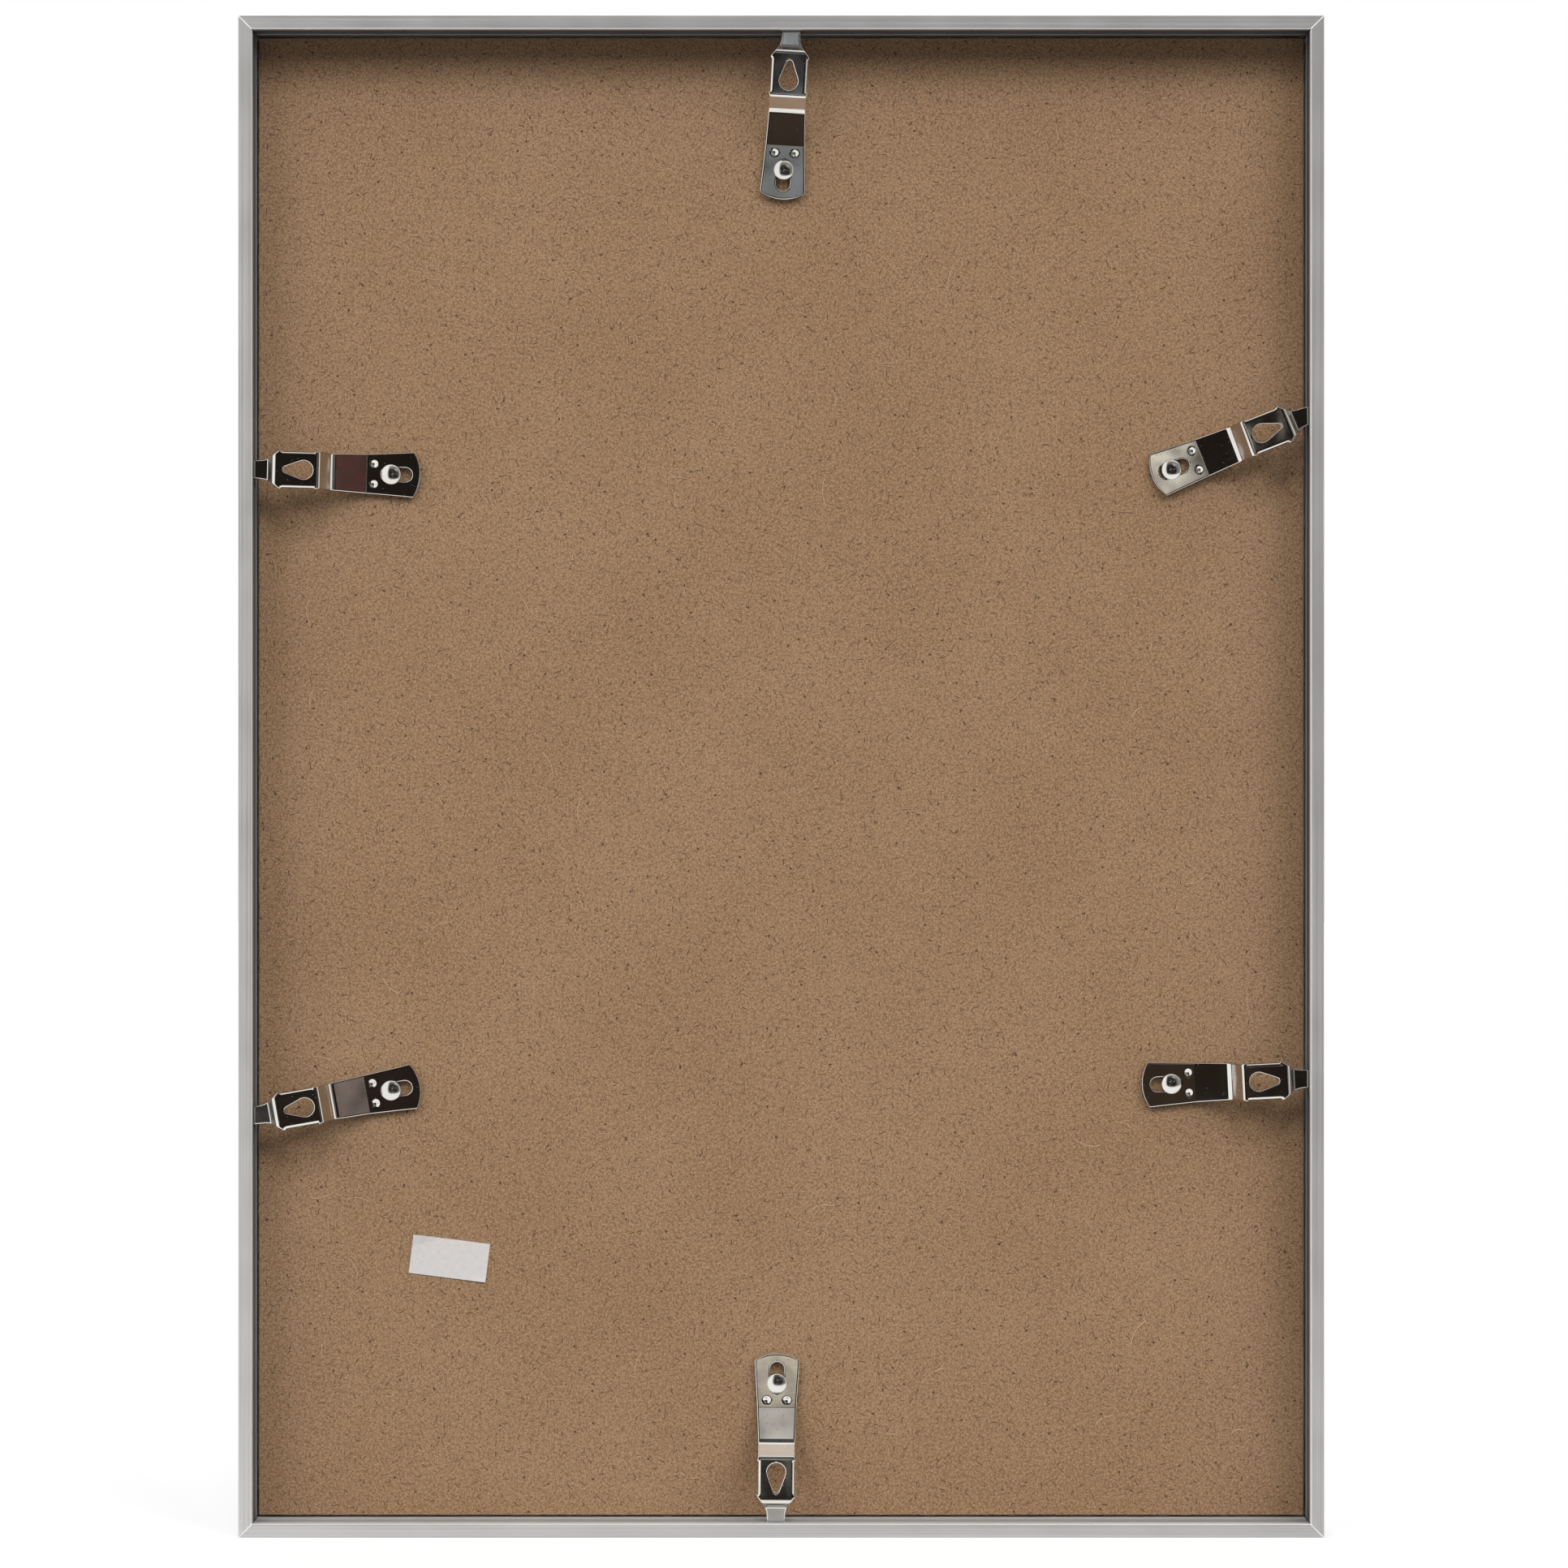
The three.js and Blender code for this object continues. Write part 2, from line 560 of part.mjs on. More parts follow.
function makeLabel() {
  const geometry = new THREE.BoxGeometry(LABEL_WIDTH, LABEL_THICKNESS, LABEL_HEIGHT);
  const label = namedMesh("blank_label", geometry, paper);
  const x = PICTURE_WIDTH / 2 - LABEL_FROM_RIGHT;
  const z = LABEL_FROM_BOTTOM - PICTURE_HEIGHT / 2;
  label.position.set(x, -boardBack + LABEL_GAP + LABEL_THICKNESS / 2, z);
  label.rotation.y = THREE.MathUtils.degToRad(LABEL_TURN);
  return label;
}

// The pieces are placed about the picture's middle, which hangs below the origin
const posterFrame = new THREE.Group();
posterFrame.name = "poster_frame";
const hung = new THREE.Group();
hung.position.z = RAIL_WIDTH / 2 - outerHeight / 2;
hung.add(...makeRails(), ...makeCornerKeys());
hung.add(namedMesh("glazing", glassGeometry(), glass));
hung.add(namedMesh("picture_sheet", plate(SHEET_THICKNESS, sheetBack), paper));
hung.add(namedMesh("back_board", boardGeometry(), hardboard));
hung.add(...makeClips(), makeLabel());
posterFrame.add(hung);

export default posterFrame;
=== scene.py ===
# %% [markdown]
# # The back of a slim poster frame
#
# The object is a metal poster frame seen from behind: four thin mitred rails, a brown hardboard back that
# sits a little below them, and six nickel-plated spring clips that swing on rivets and reach into the
# rails. A CAD model of it is loaded first and never moved. Everything made here is either a finer piece
# that stands in for one of its solids, or a finish for a solid that stays.

import bisect
import json
import math

import bmesh
import bpy
from mathutils import Matrix, Vector


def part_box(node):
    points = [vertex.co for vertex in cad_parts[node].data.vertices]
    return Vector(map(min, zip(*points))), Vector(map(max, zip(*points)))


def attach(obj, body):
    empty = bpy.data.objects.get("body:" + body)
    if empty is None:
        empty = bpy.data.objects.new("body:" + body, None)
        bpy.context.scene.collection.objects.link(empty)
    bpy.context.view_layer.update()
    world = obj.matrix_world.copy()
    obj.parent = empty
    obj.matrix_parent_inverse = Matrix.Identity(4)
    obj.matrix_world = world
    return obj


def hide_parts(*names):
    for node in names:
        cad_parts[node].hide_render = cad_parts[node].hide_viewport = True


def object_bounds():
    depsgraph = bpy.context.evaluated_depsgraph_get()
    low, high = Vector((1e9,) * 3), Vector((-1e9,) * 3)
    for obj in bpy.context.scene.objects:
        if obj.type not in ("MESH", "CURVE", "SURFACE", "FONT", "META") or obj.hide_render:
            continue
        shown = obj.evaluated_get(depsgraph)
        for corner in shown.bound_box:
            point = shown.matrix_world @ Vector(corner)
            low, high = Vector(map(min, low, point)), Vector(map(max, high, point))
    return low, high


MM = 0.001
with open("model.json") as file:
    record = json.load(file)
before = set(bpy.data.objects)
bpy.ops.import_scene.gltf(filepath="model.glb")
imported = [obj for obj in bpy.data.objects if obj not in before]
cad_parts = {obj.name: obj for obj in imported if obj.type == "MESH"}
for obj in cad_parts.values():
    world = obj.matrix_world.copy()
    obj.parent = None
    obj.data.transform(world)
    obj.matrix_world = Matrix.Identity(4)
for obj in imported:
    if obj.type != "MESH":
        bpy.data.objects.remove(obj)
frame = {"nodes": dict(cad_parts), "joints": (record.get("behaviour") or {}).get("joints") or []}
nodes = frame["nodes"]
cad_low, cad_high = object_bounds()
middle = (cad_low + cad_high) / 2

# %% [markdown]
# ## Camera
#
# The photograph looks squarely at the back, so the camera stands on the +Y side and looks along -Y. One
# millimetre at the rails' back face covers 4.37 of the 1932 pixels, which fixes the width of the view
# there. The walls of the recess show about as much as they would from 0.9 m away, and the lens follows from
# that distance.

# %% Camera
IMAGE_PIXELS = 1932
PIXELS_PER_MM = 4.37
CAMERA_DISTANCE = 0.9
AIM_RIGHT = 0.8 * MM
AIM_DOWN = 2.1 * MM
SENSOR_WIDTH = 36

view_width = IMAGE_PIXELS / PIXELS_PER_MM * MM
camera_data = bpy.data.cameras.new("back_camera")
camera_data.sensor_width = SENSOR_WIDTH
camera_data.lens = SENSOR_WIDTH * CAMERA_DISTANCE / view_width
camera = bpy.data.objects.new("back_camera", camera_data)
camera.location = (middle.x - AIM_RIGHT, cad_high.y + CAMERA_DISTANCE, middle.z - AIM_DOWN)
camera.rotation_euler = (math.pi / 2, 0, math.pi)
bpy.context.collection.objects.link(camera)
bpy.context.scene.camera = camera
bpy.context.scene.view_settings.view_transform = "Standard"
print("lens in mm:", round(camera_data.lens, 1))

# %% [markdown]
# ## Small helpers for nodes
#
# Finishes, the studio and the Geometry Nodes trees are all built from nodes, so a few short functions save
# a lot of lines: one adds a node, one feeds a socket with a link or a plain value, and a few make the sums
# that come back again and again.

# %% Node helpers
def paint(red, green, blue):
    """A colour read off a screen, 0 to 255, as the linear colour that a shader takes."""

    def linear(value):
        share = value / 255
        return share / 12.92 if share <= 0.04045 else ((share + 0.055) / 1.055) ** 2.4

    return (linear(red), linear(green), linear(blue), 1.0)


def add(tree, kind, **settings):
    node = tree.nodes.new(kind)
    for name, value in settings.items():
        setattr(node, name, value)
    return node


def feed(tree, socket, value):
    """Links a socket to another node's output, or sets it to a plain value."""
    if isinstance(value, bpy.types.NodeSocket):
        tree.links.new(value, socket)
    else:
        socket.default_value = value


def calculate(tree, operation, first, second=0.0):
    node = add(tree, "ShaderNodeMath", operation=operation)
    feed(tree, node.inputs[0], first)
    feed(tree, node.inputs[1], second)
    return node.outputs[0]


def fade(tree, value, start, end, first=0.0, last=1.0):
    """Goes smoothly from first to last as value goes from start to end."""
    node = add(tree, "ShaderNodeMapRange", interpolation_type="SMOOTHSTEP")
    for name, number in zip(("From Min", "From Max", "To Min", "To Max"), (start, end, first, last)):
        node.inputs[name].default_value = number
    feed(tree, node.inputs["Value"], value)
    return node.outputs["Result"]


def blend_colours(tree, factor, first, second):
    node = add(tree, "ShaderNodeMix", data_type="RGBA")
    feed(tree, node.inputs[0], factor)
    feed(tree, node.inputs[6], first)
    feed(tree, node.inputs[7], second)
    return node.outputs[2]


def object_place(tree):
    return add(tree, "ShaderNodeTexCoord").outputs["Object"]


def axes_of(tree, vector):
    node = add(tree, "ShaderNodeSeparateXYZ")
    feed(tree, node.inputs[0], vector)
    return node.outputs


# %% [markdown]
# ## Studio
#
# Bright metal looks like whatever stands around it, so the studio matters as much as the finish. The
# background is white to the camera and to reflections. Four soft lamps light the object: one from above,
# one from either side and one for the front. The top rail's shadow lies along the top of the recess. The
# floor is grey. To the camera and through glass, a glow lifts it to the background's white, less near the
# object, where its shadow shows. Reflections pass it by and show the background.

# %% World and floor
AMBIENT_LIGHT = 0.05
FLOOR_SIZE = 8
FLOOR_GREY = 0.2
FLOOR_ROUGHNESS = 0.9
FLOOR_LIFT_NEAR = 0.6
FLOOR_LIFT_FAR = 1.0
FLOOR_NEAR = 0.25
FLOOR_FAR = 1.2


def background_rays(tree):
    """1 for rays that show the background: from the camera, off metal or through glass. Light that a dull
    surface has already scattered doesn't count, or the rails' walls would light up the board."""
    path = add(tree, "ShaderNodeLightPath")
    seen = calculate(tree, "MAXIMUM", path.outputs["Is Camera Ray"], path.outputs["Is Glossy Ray"])
    seen = calculate(tree, "MAXIMUM", seen, path.outputs["Is Transmission Ray"])
    direct = calculate(tree, "LESS_THAN", path.outputs["Diffuse Depth"], 0.5)
    return calculate(tree, "MULTIPLY", seen, direct)


world = bpy.data.worlds.new("studio")
world.use_nodes = True
world.node_tree.nodes.clear()
sky = world.node_tree
ambient = add(sky, "ShaderNodeBackground")
ambient.inputs["Strength"].default_value = AMBIENT_LIGHT
white = add(sky, "ShaderNodeBackground")
choose = add(sky, "ShaderNodeMixShader")
for background in (ambient, white):
    background.inputs["Color"].default_value = (1, 1, 1, 1)
feed(sky, choose.inputs[0], background_rays(sky))
feed(sky, choose.inputs[1], ambient.outputs[0])
feed(sky, choose.inputs[2], white.outputs[0])
feed(sky, add(sky, "ShaderNodeOutputWorld").inputs["Surface"], choose.outputs[0])
bpy.context.scene.world = world

bpy.ops.mesh.primitive_plane_add(size=FLOOR_SIZE, location=(middle.x, 0, cad_low.z))
floor = bpy.context.object
floor.name = "floor"
floor_paint = bpy.data.materials.new("floor_paint")
floor_paint.use_nodes = True
floor_tree = floor_paint.node_tree
floor_shader = floor_tree.nodes["Principled BSDF"]
floor_shader.inputs["Base Color"].default_value = (FLOOR_GREY, FLOOR_GREY, FLOOR_GREY, 1)
floor_shader.inputs["Roughness"].default_value = FLOOR_ROUGHNESS
floor_shader.inputs["Emission Color"].default_value = (1, 1, 1, 1)
away = add(floor_tree, "ShaderNodeVectorMath", operation="LENGTH")
feed(floor_tree, away.inputs[0], object_place(floor_tree))
lift = fade(floor_tree, away.outputs["Value"], FLOOR_NEAR, FLOOR_FAR, FLOOR_LIFT_NEAR, FLOOR_LIFT_FAR)
lift = calculate(floor_tree, "MULTIPLY", background_rays(floor_tree), lift)
feed(floor_tree, floor_shader.inputs["Emission Strength"], lift)
floor.data.materials.append(floor_paint)
floor.visible_glossy = False
print("floor at z =", round(cad_low.z, 4))

# %% Soft lamps
LAMPS = (
    ("top_lamp", (-0.05, 0.5, 0.86), 0.20, 14),
    ("right_lamp", (-0.66, 0.34, 0.68), 0.42, 44),
    ("left_lamp", (0.66, 0.34, 0.68), 0.33, 44),
    ("front_lamp", (0.2, -0.85, 0.5), 0.8, 40),
)


def soft_lamp(name, towards, share, softness):
    """An even lamp that stands towards one side. share is how much of its surface colour a face square to the
    back or the front gets from it, and softness is how wide the lamp looks, in degrees."""
    way = Vector(towards).normalized()
    lamp_data = bpy.data.lights.new(name, "SUN")
    lamp_data.angle = math.radians(softness)
    lamp_data.energy = share * math.pi / abs(way.y)
    lamp = bpy.data.objects.new(name, lamp_data)
    lamp.location = middle + way
    lamp.rotation_euler = (-way).to_track_quat("-Z", "Y").to_euler()
    lamp.visible_glossy = False
    bpy.context.collection.objects.link(lamp)


for lamp_values in LAMPS:
    soft_lamp(*lamp_values)
print("soft lamps:", len(LAMPS))

# %% [markdown]
# ## Dark card
#
# In the photograph the clips' flat tops are almost black and only their bends and edges shine. A flat
# mirror that faces the camera shows the room behind the camera, so that room was dark. A large dark card
# stands there. Only reflections see it: it throws no shadow, and its edges fade so that no hard line shows
# in the metal. A few soft paler patches on it are painted reflections, placed so that each clip gets its own
# tone. Far from its middle the card is grey, and the rivets' round heads show that as a third tone between
# black and white.

# %% Dark card
CARD_DISTANCE = 1.2
CARD_MIDDLE = (-1.25, 1.0)
CARD_HALF_WIDTH = 2.05
CARD_HALF_HEIGHT = 1.75
CARD_DARK = (0.014, 0.011, 0.009, 1)
CARD_GREY = (0.26, 0.25, 0.24, 1)
CARD_GREY_FROM = 0.8
CARD_GREY_TO = 1.7
CARD_CORE = 0.86
CARD_SQUARENESS = 7
# For each painted reflection patch: its place across and up from the frame's middle, its radius in metres and
# its colour
CARD_REFLECTION_PATCHES = (
    ((0.0, 0.13), 0.12, (0.68, 0.66, 0.64, 1)),
    ((0.0, -0.375), 0.075, (0.95, 0.87, 0.74, 1)),
    ((0.0, 0.395), 0.08, (0.26, 0.28, 0.30, 1)),
    ((0.0, 0.61), 0.08, (0.42, 0.45, 0.48, 1)),
    ((-0.27, 0.18), 0.09, (0.15, 0.062, 0.056, 1)),
    ((-0.60, 0.22), 0.15, (0.35, 0.40, 0.45, 1)),
    ((-0.27, -0.09), 0.10, (0.27, 0.215, 0.195, 1)),
    ((-0.26, -0.22), 0.08, (0.045, 0.03, 0.02, 1)),
    ((0.02, -0.12), 0.13, (0.05, 0.036, 0.027, 1)),
    ((0.27, -0.21), 0.14, (0.022, 0.016, 0.012, 1)),
    ((-0.20, 0.29), 0.085, (0.95, 0.90, 0.80, 1)),
    ((-0.75, 1.10), 0.50, (0.55, 0.55, 0.56, 1)),
)

card_mesh = bpy.data.meshes.new("dark_card")
card_corners = [
    (CARD_MIDDLE[0] + x * CARD_HALF_WIDTH, 0, CARD_MIDDLE[1] + z * CARD_HALF_HEIGHT)
    for x, z in ((-1, -1), (1, -1), (1, 1), (-1, 1))
]
card_mesh.from_pydata(card_corners, [], [(0, 1, 2, 3)])
card = bpy.data.objects.new("dark_card", card_mesh)
card.location = (middle.x, CARD_DISTANCE, middle.z)
bpy.context.collection.objects.link(card)
for ray in ("camera", "diffuse", "shadow", "transmission", "volume_scatter"):
    setattr(card, f"visible_{ray}", False)
print("card is", 2 * CARD_HALF_WIDTH, "m wide and", 2 * CARD_HALF_HEIGHT, "m high")

# %% Card's paint
def share_outward(tree, place, middle_line, half):
    """How near a place is to the card's edge: 0 on the middle line, 1 at the edge, low until close to it."""
    share = calculate(tree, "DIVIDE", calculate(tree, "SUBTRACT", place, middle_line), half)
    return calculate(tree, "POWER", calculate(tree, "ABSOLUTE", share), CARD_SQUARENESS)


card_paint = bpy.data.materials.new("card_paint")
card_paint.use_nodes = True
card_tree = card_paint.node_tree
card_tree.nodes.clear()
card_place = object_place(card_tree)
far_off = add(card_tree, "ShaderNodeVectorMath", operation="LENGTH")
feed(card_tree, far_off.inputs[0], card_place)
far_off = fade(card_tree, far_off.outputs["Value"], CARD_GREY_FROM, CARD_GREY_TO)
card_colour = blend_colours(card_tree, far_off, CARD_DARK, CARD_GREY)
# Painted reflections: each patch is blended into the card's colour
for (across, up), radius, colour in CARD_REFLECTION_PATCHES:
    distance = add(card_tree, "ShaderNodeVectorMath", operation="DISTANCE")
    feed(card_tree, distance.inputs[0], card_place)
    distance.inputs[1].default_value = (across, 0, up)
    area = fade(card_tree, distance.outputs["Value"], radius, 0.0)
    card_colour = blend_colours(card_tree, area, card_colour, colour)
card_glow = add(card_tree, "ShaderNodeEmission")
feed(card_tree, card_glow.inputs["Color"], card_colour)
card_axes = axes_of(card_tree, card_place)
across = share_outward(card_tree, card_axes["X"], CARD_MIDDLE[0], CARD_HALF_WIDTH)
up = share_outward(card_tree, card_axes["Z"], CARD_MIDDLE[1], CARD_HALF_HEIGHT)
outward = calculate(card_tree, "POWER", calculate(card_tree, "ADD", across, up), 1 / CARD_SQUARENESS)
edge = fade(card_tree, outward, CARD_CORE, 1.0)
card_mix = add(card_tree, "ShaderNodeMixShader")
feed(card_tree, card_mix.inputs[0], edge)
feed(card_tree, card_mix.inputs[1], card_glow.outputs[0])
feed(card_tree, card_mix.inputs[2], add(card_tree, "ShaderNodeBsdfTransparent").outputs[0])
feed(card_tree, add(card_tree, "ShaderNodeOutputMaterial").inputs["Surface"], card_mix.outputs[0])
card_mesh.materials.append(card_paint)
print("dark card with", len(CARD_REFLECTION_PATCHES), "paler areas")

# %% [markdown]
# ## Hardboard
#
# Hardboard is wood pulped to fibres and pressed flat. From close by it is a fine felt of short strands that
# lie every way, some dark, some pale, with odd specks of bark. One stroke to each cell of a Voronoi
# texture, turned by the cell's own random colour, draws such strands at any size. Six layers of them go
# over a mottled brown.

# %% Helpers for finishes
NOISE_LOW = 0.3
NOISE_HIGH = 0.7


def new_finish(name, colour, roughness, metallic=0.0):
    finish = bpy.data.materials.new(name)
    finish.use_nodes = True
    shader = finish.node_tree.nodes["Principled BSDF"]
    shader.inputs["Base Color"].default_value = colour
    shader.inputs["Roughness"].default_value = roughness
    shader.inputs["Metallic"].default_value = metallic
    return finish, finish.node_tree, shader


def flat_place(tree):
    """Place on the frame's plane: x across and z up, as the first two coordinates."""
    axes = axes_of(tree, object_place(tree))
    flat = add(tree, "ShaderNodeCombineXYZ")
    feed(tree, flat.inputs["X"], axes["X"])
    feed(tree, flat.inputs["Y"], axes["Z"])
    return flat.outputs[0]


def cloudiness(tree, place, size, detail=3.0, stretch=(1, 1, 1)):
    """Soft noise whose features are about size metres across."""
    scaled = add(tree, "ShaderNodeVectorMath", operation="MULTIPLY")
    feed(tree, scaled.inputs[0], place)
    scaled.inputs[1].default_value = [s / size for s in stretch]
    noise = add(tree, "ShaderNodeTexNoise")
    noise.inputs["Scale"].default_value = 1.0
    noise.inputs["Detail"].default_value = detail
    feed(tree, noise.inputs["Vector"], scaled.outputs[0])
    return noise.outputs["Fac"]


def two_tones(tree, noise, dark, light):
    """A colour that wanders between two others as the noise rises and falls."""
    return blend_colours(tree, fade(tree, noise, NOISE_LOW, NOISE_HIGH), dark, light)


def emboss(tree, shader, height, strength, distance):
    bump = add(tree, "ShaderNodeBump")
    bump.inputs["Strength"].default_value = strength
    bump.inputs["Distance"].default_value = distance
    feed(tree, bump.inputs["Height"], height)
    feed(tree, shader.inputs["Normal"], bump.outputs[0])


# %% Strands
def strands(tree, place, cell, length, width, share, start):
    """Curved strokes, one to a cell of the given size, each turned its own way, in a share of the cells."""
    scaled = add(tree, "ShaderNodeVectorMath", operation="MULTIPLY_ADD")
    feed(tree, scaled.inputs[0], place)
    scaled.inputs[1].default_value = (1 / cell, 1 / cell, 1)
    scaled.inputs[2].default_value = (start, start, 0)
    cells = add(tree, "ShaderNodeTexVoronoi", voronoi_dimensions="2D")
    cells.inputs["Scale"].default_value = 1.0
    feed(tree, cells.inputs["Vector"], scaled.outputs[0])
    chance = add(tree, "ShaderNodeSeparateColor")
    feed(tree, chance.inputs[0], cells.outputs["Color"])
    inside = add(tree, "ShaderNodeVectorMath", operation="SUBTRACT")
    feed(tree, inside.inputs[0], scaled.outputs[0])
    feed(tree, inside.inputs[1], cells.outputs["Position"])
    turned = add(tree, "ShaderNodeVectorRotate", rotation_type="Z_AXIS")
    feed(tree, turned.inputs["Vector"], inside.outputs[0])
    feed(tree, turned.inputs["Angle"], calculate(tree, "MULTIPLY", chance.outputs[0], 2 * math.pi))
    local = axes_of(tree, turned.outputs[0])
    along = local["X"]
    bow = calculate(tree, "MULTIPLY", calculate(tree, "SUBTRACT", chance.outputs[1], 0.5), 2.0)
    sag = calculate(tree, "MULTIPLY", calculate(tree, "MULTIPLY", along, along), bow)
    across = calculate(tree, "ABSOLUTE", calculate(tree, "ADD", local["Y"], sag))
    reach = calculate(tree, "ABSOLUTE", along)
    body = fade(tree, across, width / cell, 0.3 * width / cell)
    ends = fade(tree, reach, length / cell, 0.5 * length / cell)
    kept = calculate(tree, "LESS_THAN", chance.outputs[2], share)
    return calculate(tree, "MULTIPLY", calculate(tree, "MULTIPLY", body, ends), kept)


# %% Hardboard finish
MOTTLE_SIZE = 55 * MM
PATCH_SIZE = 6 * MM
GRAIN_SIZE = 0.55 * MM
GRAIN_DEPTH = 0.08 * MM
# For each layer: a cell's size, half a strand's length and width, the share of cells with one, where the
# pattern starts, the colour, and how much of it shows
STRAND_LAYERS = (
    (0.95 * MM, 0.42 * MM, 0.14 * MM, 1.0, 31.7, paint(186, 160, 131), 0.5),
    (1.05 * MM, 0.42 * MM, 0.14 * MM, 0.65, 41.9, paint(80, 58, 40), 0.8),
    (2.2 * MM, 0.9 * MM, 0.09 * MM, 0.75, 3.1, paint(182, 154, 124), 0.35),
    (1.7 * MM, 0.55 * MM, 0.11 * MM, 0.60, 7.7, paint(84, 61, 42), 0.7),
    (4.2 * MM, 1.0 * MM, 0.17 * MM, 0.5, 13.9, paint(70, 49, 33), 0.9),
    (8.0 * MM, 0.45 * MM, 0.38 * MM, 0.4, 23.3, paint(60, 43, 29), 0.9),
)


def hardboard_finish():
    finish, tree, shader = new_finish("hardboard", paint(150, 120, 92), 0.88)
    shader.inputs["Specular IOR Level"].default_value = 0.25
    place = flat_place(tree)
    patches = cloudiness(tree, place, PATCH_SIZE, detail=4.0)
    grain = cloudiness(tree, place, GRAIN_SIZE, detail=5.0)
    tone = two_tones(tree, cloudiness(tree, place, MOTTLE_SIZE), paint(142, 113, 85), paint(151, 122, 94))
    tone = blend_colours(tree, fade(tree, patches, 0.35, 0.75, 0.0, 0.35), tone, paint(138, 110, 83))
    tone = blend_colours(tree, fade(tree, grain, 0.35, 0.7, 0.45, 0.0), tone, paint(112, 84, 60))
    tone = blend_colours(tree, fade(tree, grain, 0.52, 0.75, 0.0, 0.4), tone, paint(177, 148, 119))
    for cell, length, width, share, start, colour, strength in STRAND_LAYERS:
        mask = strands(tree, place, cell, length, width, share, start)
        tone = blend_colours(tree, calculate(tree, "MULTIPLY", mask, strength), tone, colour)
    feed(tree, shader.inputs["Base Color"], tone)
    emboss(tree, shader, grain, 0.5, GRAIN_DEPTH)
    return finish


hardboard = hardboard_finish()
print("strand layers on the board:", len(STRAND_LAYERS))

# %% [markdown]
# ## Metals
#
# The rails are satin aluminium, drawn through a die, so their marks are hairlines along the rail. The same
# noise stretched five hundredfold gives them, along X on the top and bottom rails and along Z on the
# others. Inside, the rails' walls look dark between the lip and a thin ridge, so shade is painted on them
# there by a mask of depth, and hardly at all on the bottom rail. The clips are bright nickel over pressed
# steel: smooth enough to mirror, but never quite flat, so a slow bump bends the mirror a degree or two.
# Their steep walls get painted shade on the side clips and are hazier on the two end clips, so those have a
# plate each.

# %% Aluminium finishes
LIP_EDGE = 0.5 * MM
LIP_FOOT = 2.0 * MM
RIDGE_MIDDLE = 4.65 * MM
RIDGE_HALF = 0.45 * MM
RAIL_HALF = 2 * MM
RECESS_FOOT = 9 * MM
RIDGE_CORE = 0.6 * RIDGE_HALF
# Strengths of the painted shade on the rails' walls: for most rails, and for the bottom rail, which gets less
WALL_SHADE = 0.7
BOTTOM_WALL_SHADE = 0.1
HAIRLINE_WIDTH = 0.35 * MM
HAIRLINE_DEPTH = 0.02 * MM
WORN_SIZE = 18 * MM
ALONG_X = (0.002, 1, 1)
ALONG_Z = (1, 1, 0.002)


def painted_wall_shade(tree, place, axis):
    """How much shade is painted on a rail's wall: 0 on the lip, ridge, outside and front, 1 in the groove and
    the recess.
    """
    axes = axes_of(tree, place)
    depth = calculate(tree, "MULTIPLY", axes["Y"], -1.0)
    below_lip = fade(tree, depth, LIP_EDGE, LIP_FOOT)
    dull = calculate(tree, "MULTIPLY", below_lip, calculate(tree, "LESS_THAN", depth, RECESS_FOOT))
    off_ridge = calculate(tree, "ABSOLUTE", calculate(tree, "SUBTRACT", depth, RIDGE_MIDDLE))
    dull = calculate(tree, "MULTIPLY", dull, fade(tree, off_ridge, RIDGE_CORE, RIDGE_HALF))
    outward = calculate(tree, "SUBTRACT", axes["XYZ"[axis]], middle[axis])
    outward = calculate(tree, "ABSOLUTE", outward)
    inside = calculate(tree, "LESS_THAN", outward, cad_high[axis] - middle[axis] - RAIL_HALF)
    return calculate(tree, "MULTIPLY", dull, inside)


def drawn_aluminium(name, lengthwise, axis, dullness):
    finish, tree, shader = new_finish(name, paint(226, 225, 223), 0.42, metallic=0.75)
    place = object_place(tree)
    hairlines = cloudiness(tree, place, HAIRLINE_WIDTH, detail=4.0, stretch=lengthwise)
    tone = two_tones(tree, hairlines, paint(218, 217, 215), paint(236, 235, 233))
    dull = calculate(tree, "MULTIPLY", painted_wall_shade(tree, place, axis), dullness)
    # Painted shade: the walls are blended towards a dark grey where the depth mask says
    feed(tree, shader.inputs["Base Color"], blend_colours(tree, dull, tone, paint(70, 70, 72)))
    worn = fade(tree, cloudiness(tree, place, WORN_SIZE), NOISE_LOW, NOISE_HIGH, -0.04, 0.04)
    rough = fade(tree, hairlines, 0.2, 0.8, 0.34, 0.5)
    feed(tree, shader.inputs["Roughness"], calculate(tree, "ADD", rough, worn))
    emboss(tree, shader, hairlines, 0.25, HAIRLINE_DEPTH)
    return finish


# Lit and shaded copies of one finish: the bottom rail's walls get less painted shade than the others
aluminium_top = drawn_aluminium("aluminium_top", ALONG_X, 2, WALL_SHADE)
aluminium_bottom = drawn_aluminium("aluminium_bottom", ALONG_X, 2, BOTTOM_WALL_SHADE)
aluminium_upright = drawn_aluminium("aluminium_upright", ALONG_Z, 0, WALL_SHADE)
print("rails' walls are dulled by", WALL_SHADE, "and the bottom rail's by", BOTTOM_WALL_SHADE)

# %% Nickel and steel finishes
STEEP_FROM = 0.66
STEEP_TO = 0.6
CAST_SIZE = 14 * MM
HAZE_SIZE = 9 * MM
HAZE_ROUGHNESS = 0.07
WAVE_SIZE = 13 * MM
PIT_SIZE = 0.5 * MM
PIT_DEPTH = 0.0015
DUST = (1.6 * MM, 0.16 * MM, 0.12 * MM, 0.2, 5.3)
DUST_ROUGHNESS = 0.2
SCALE_SIZE = 3 * MM


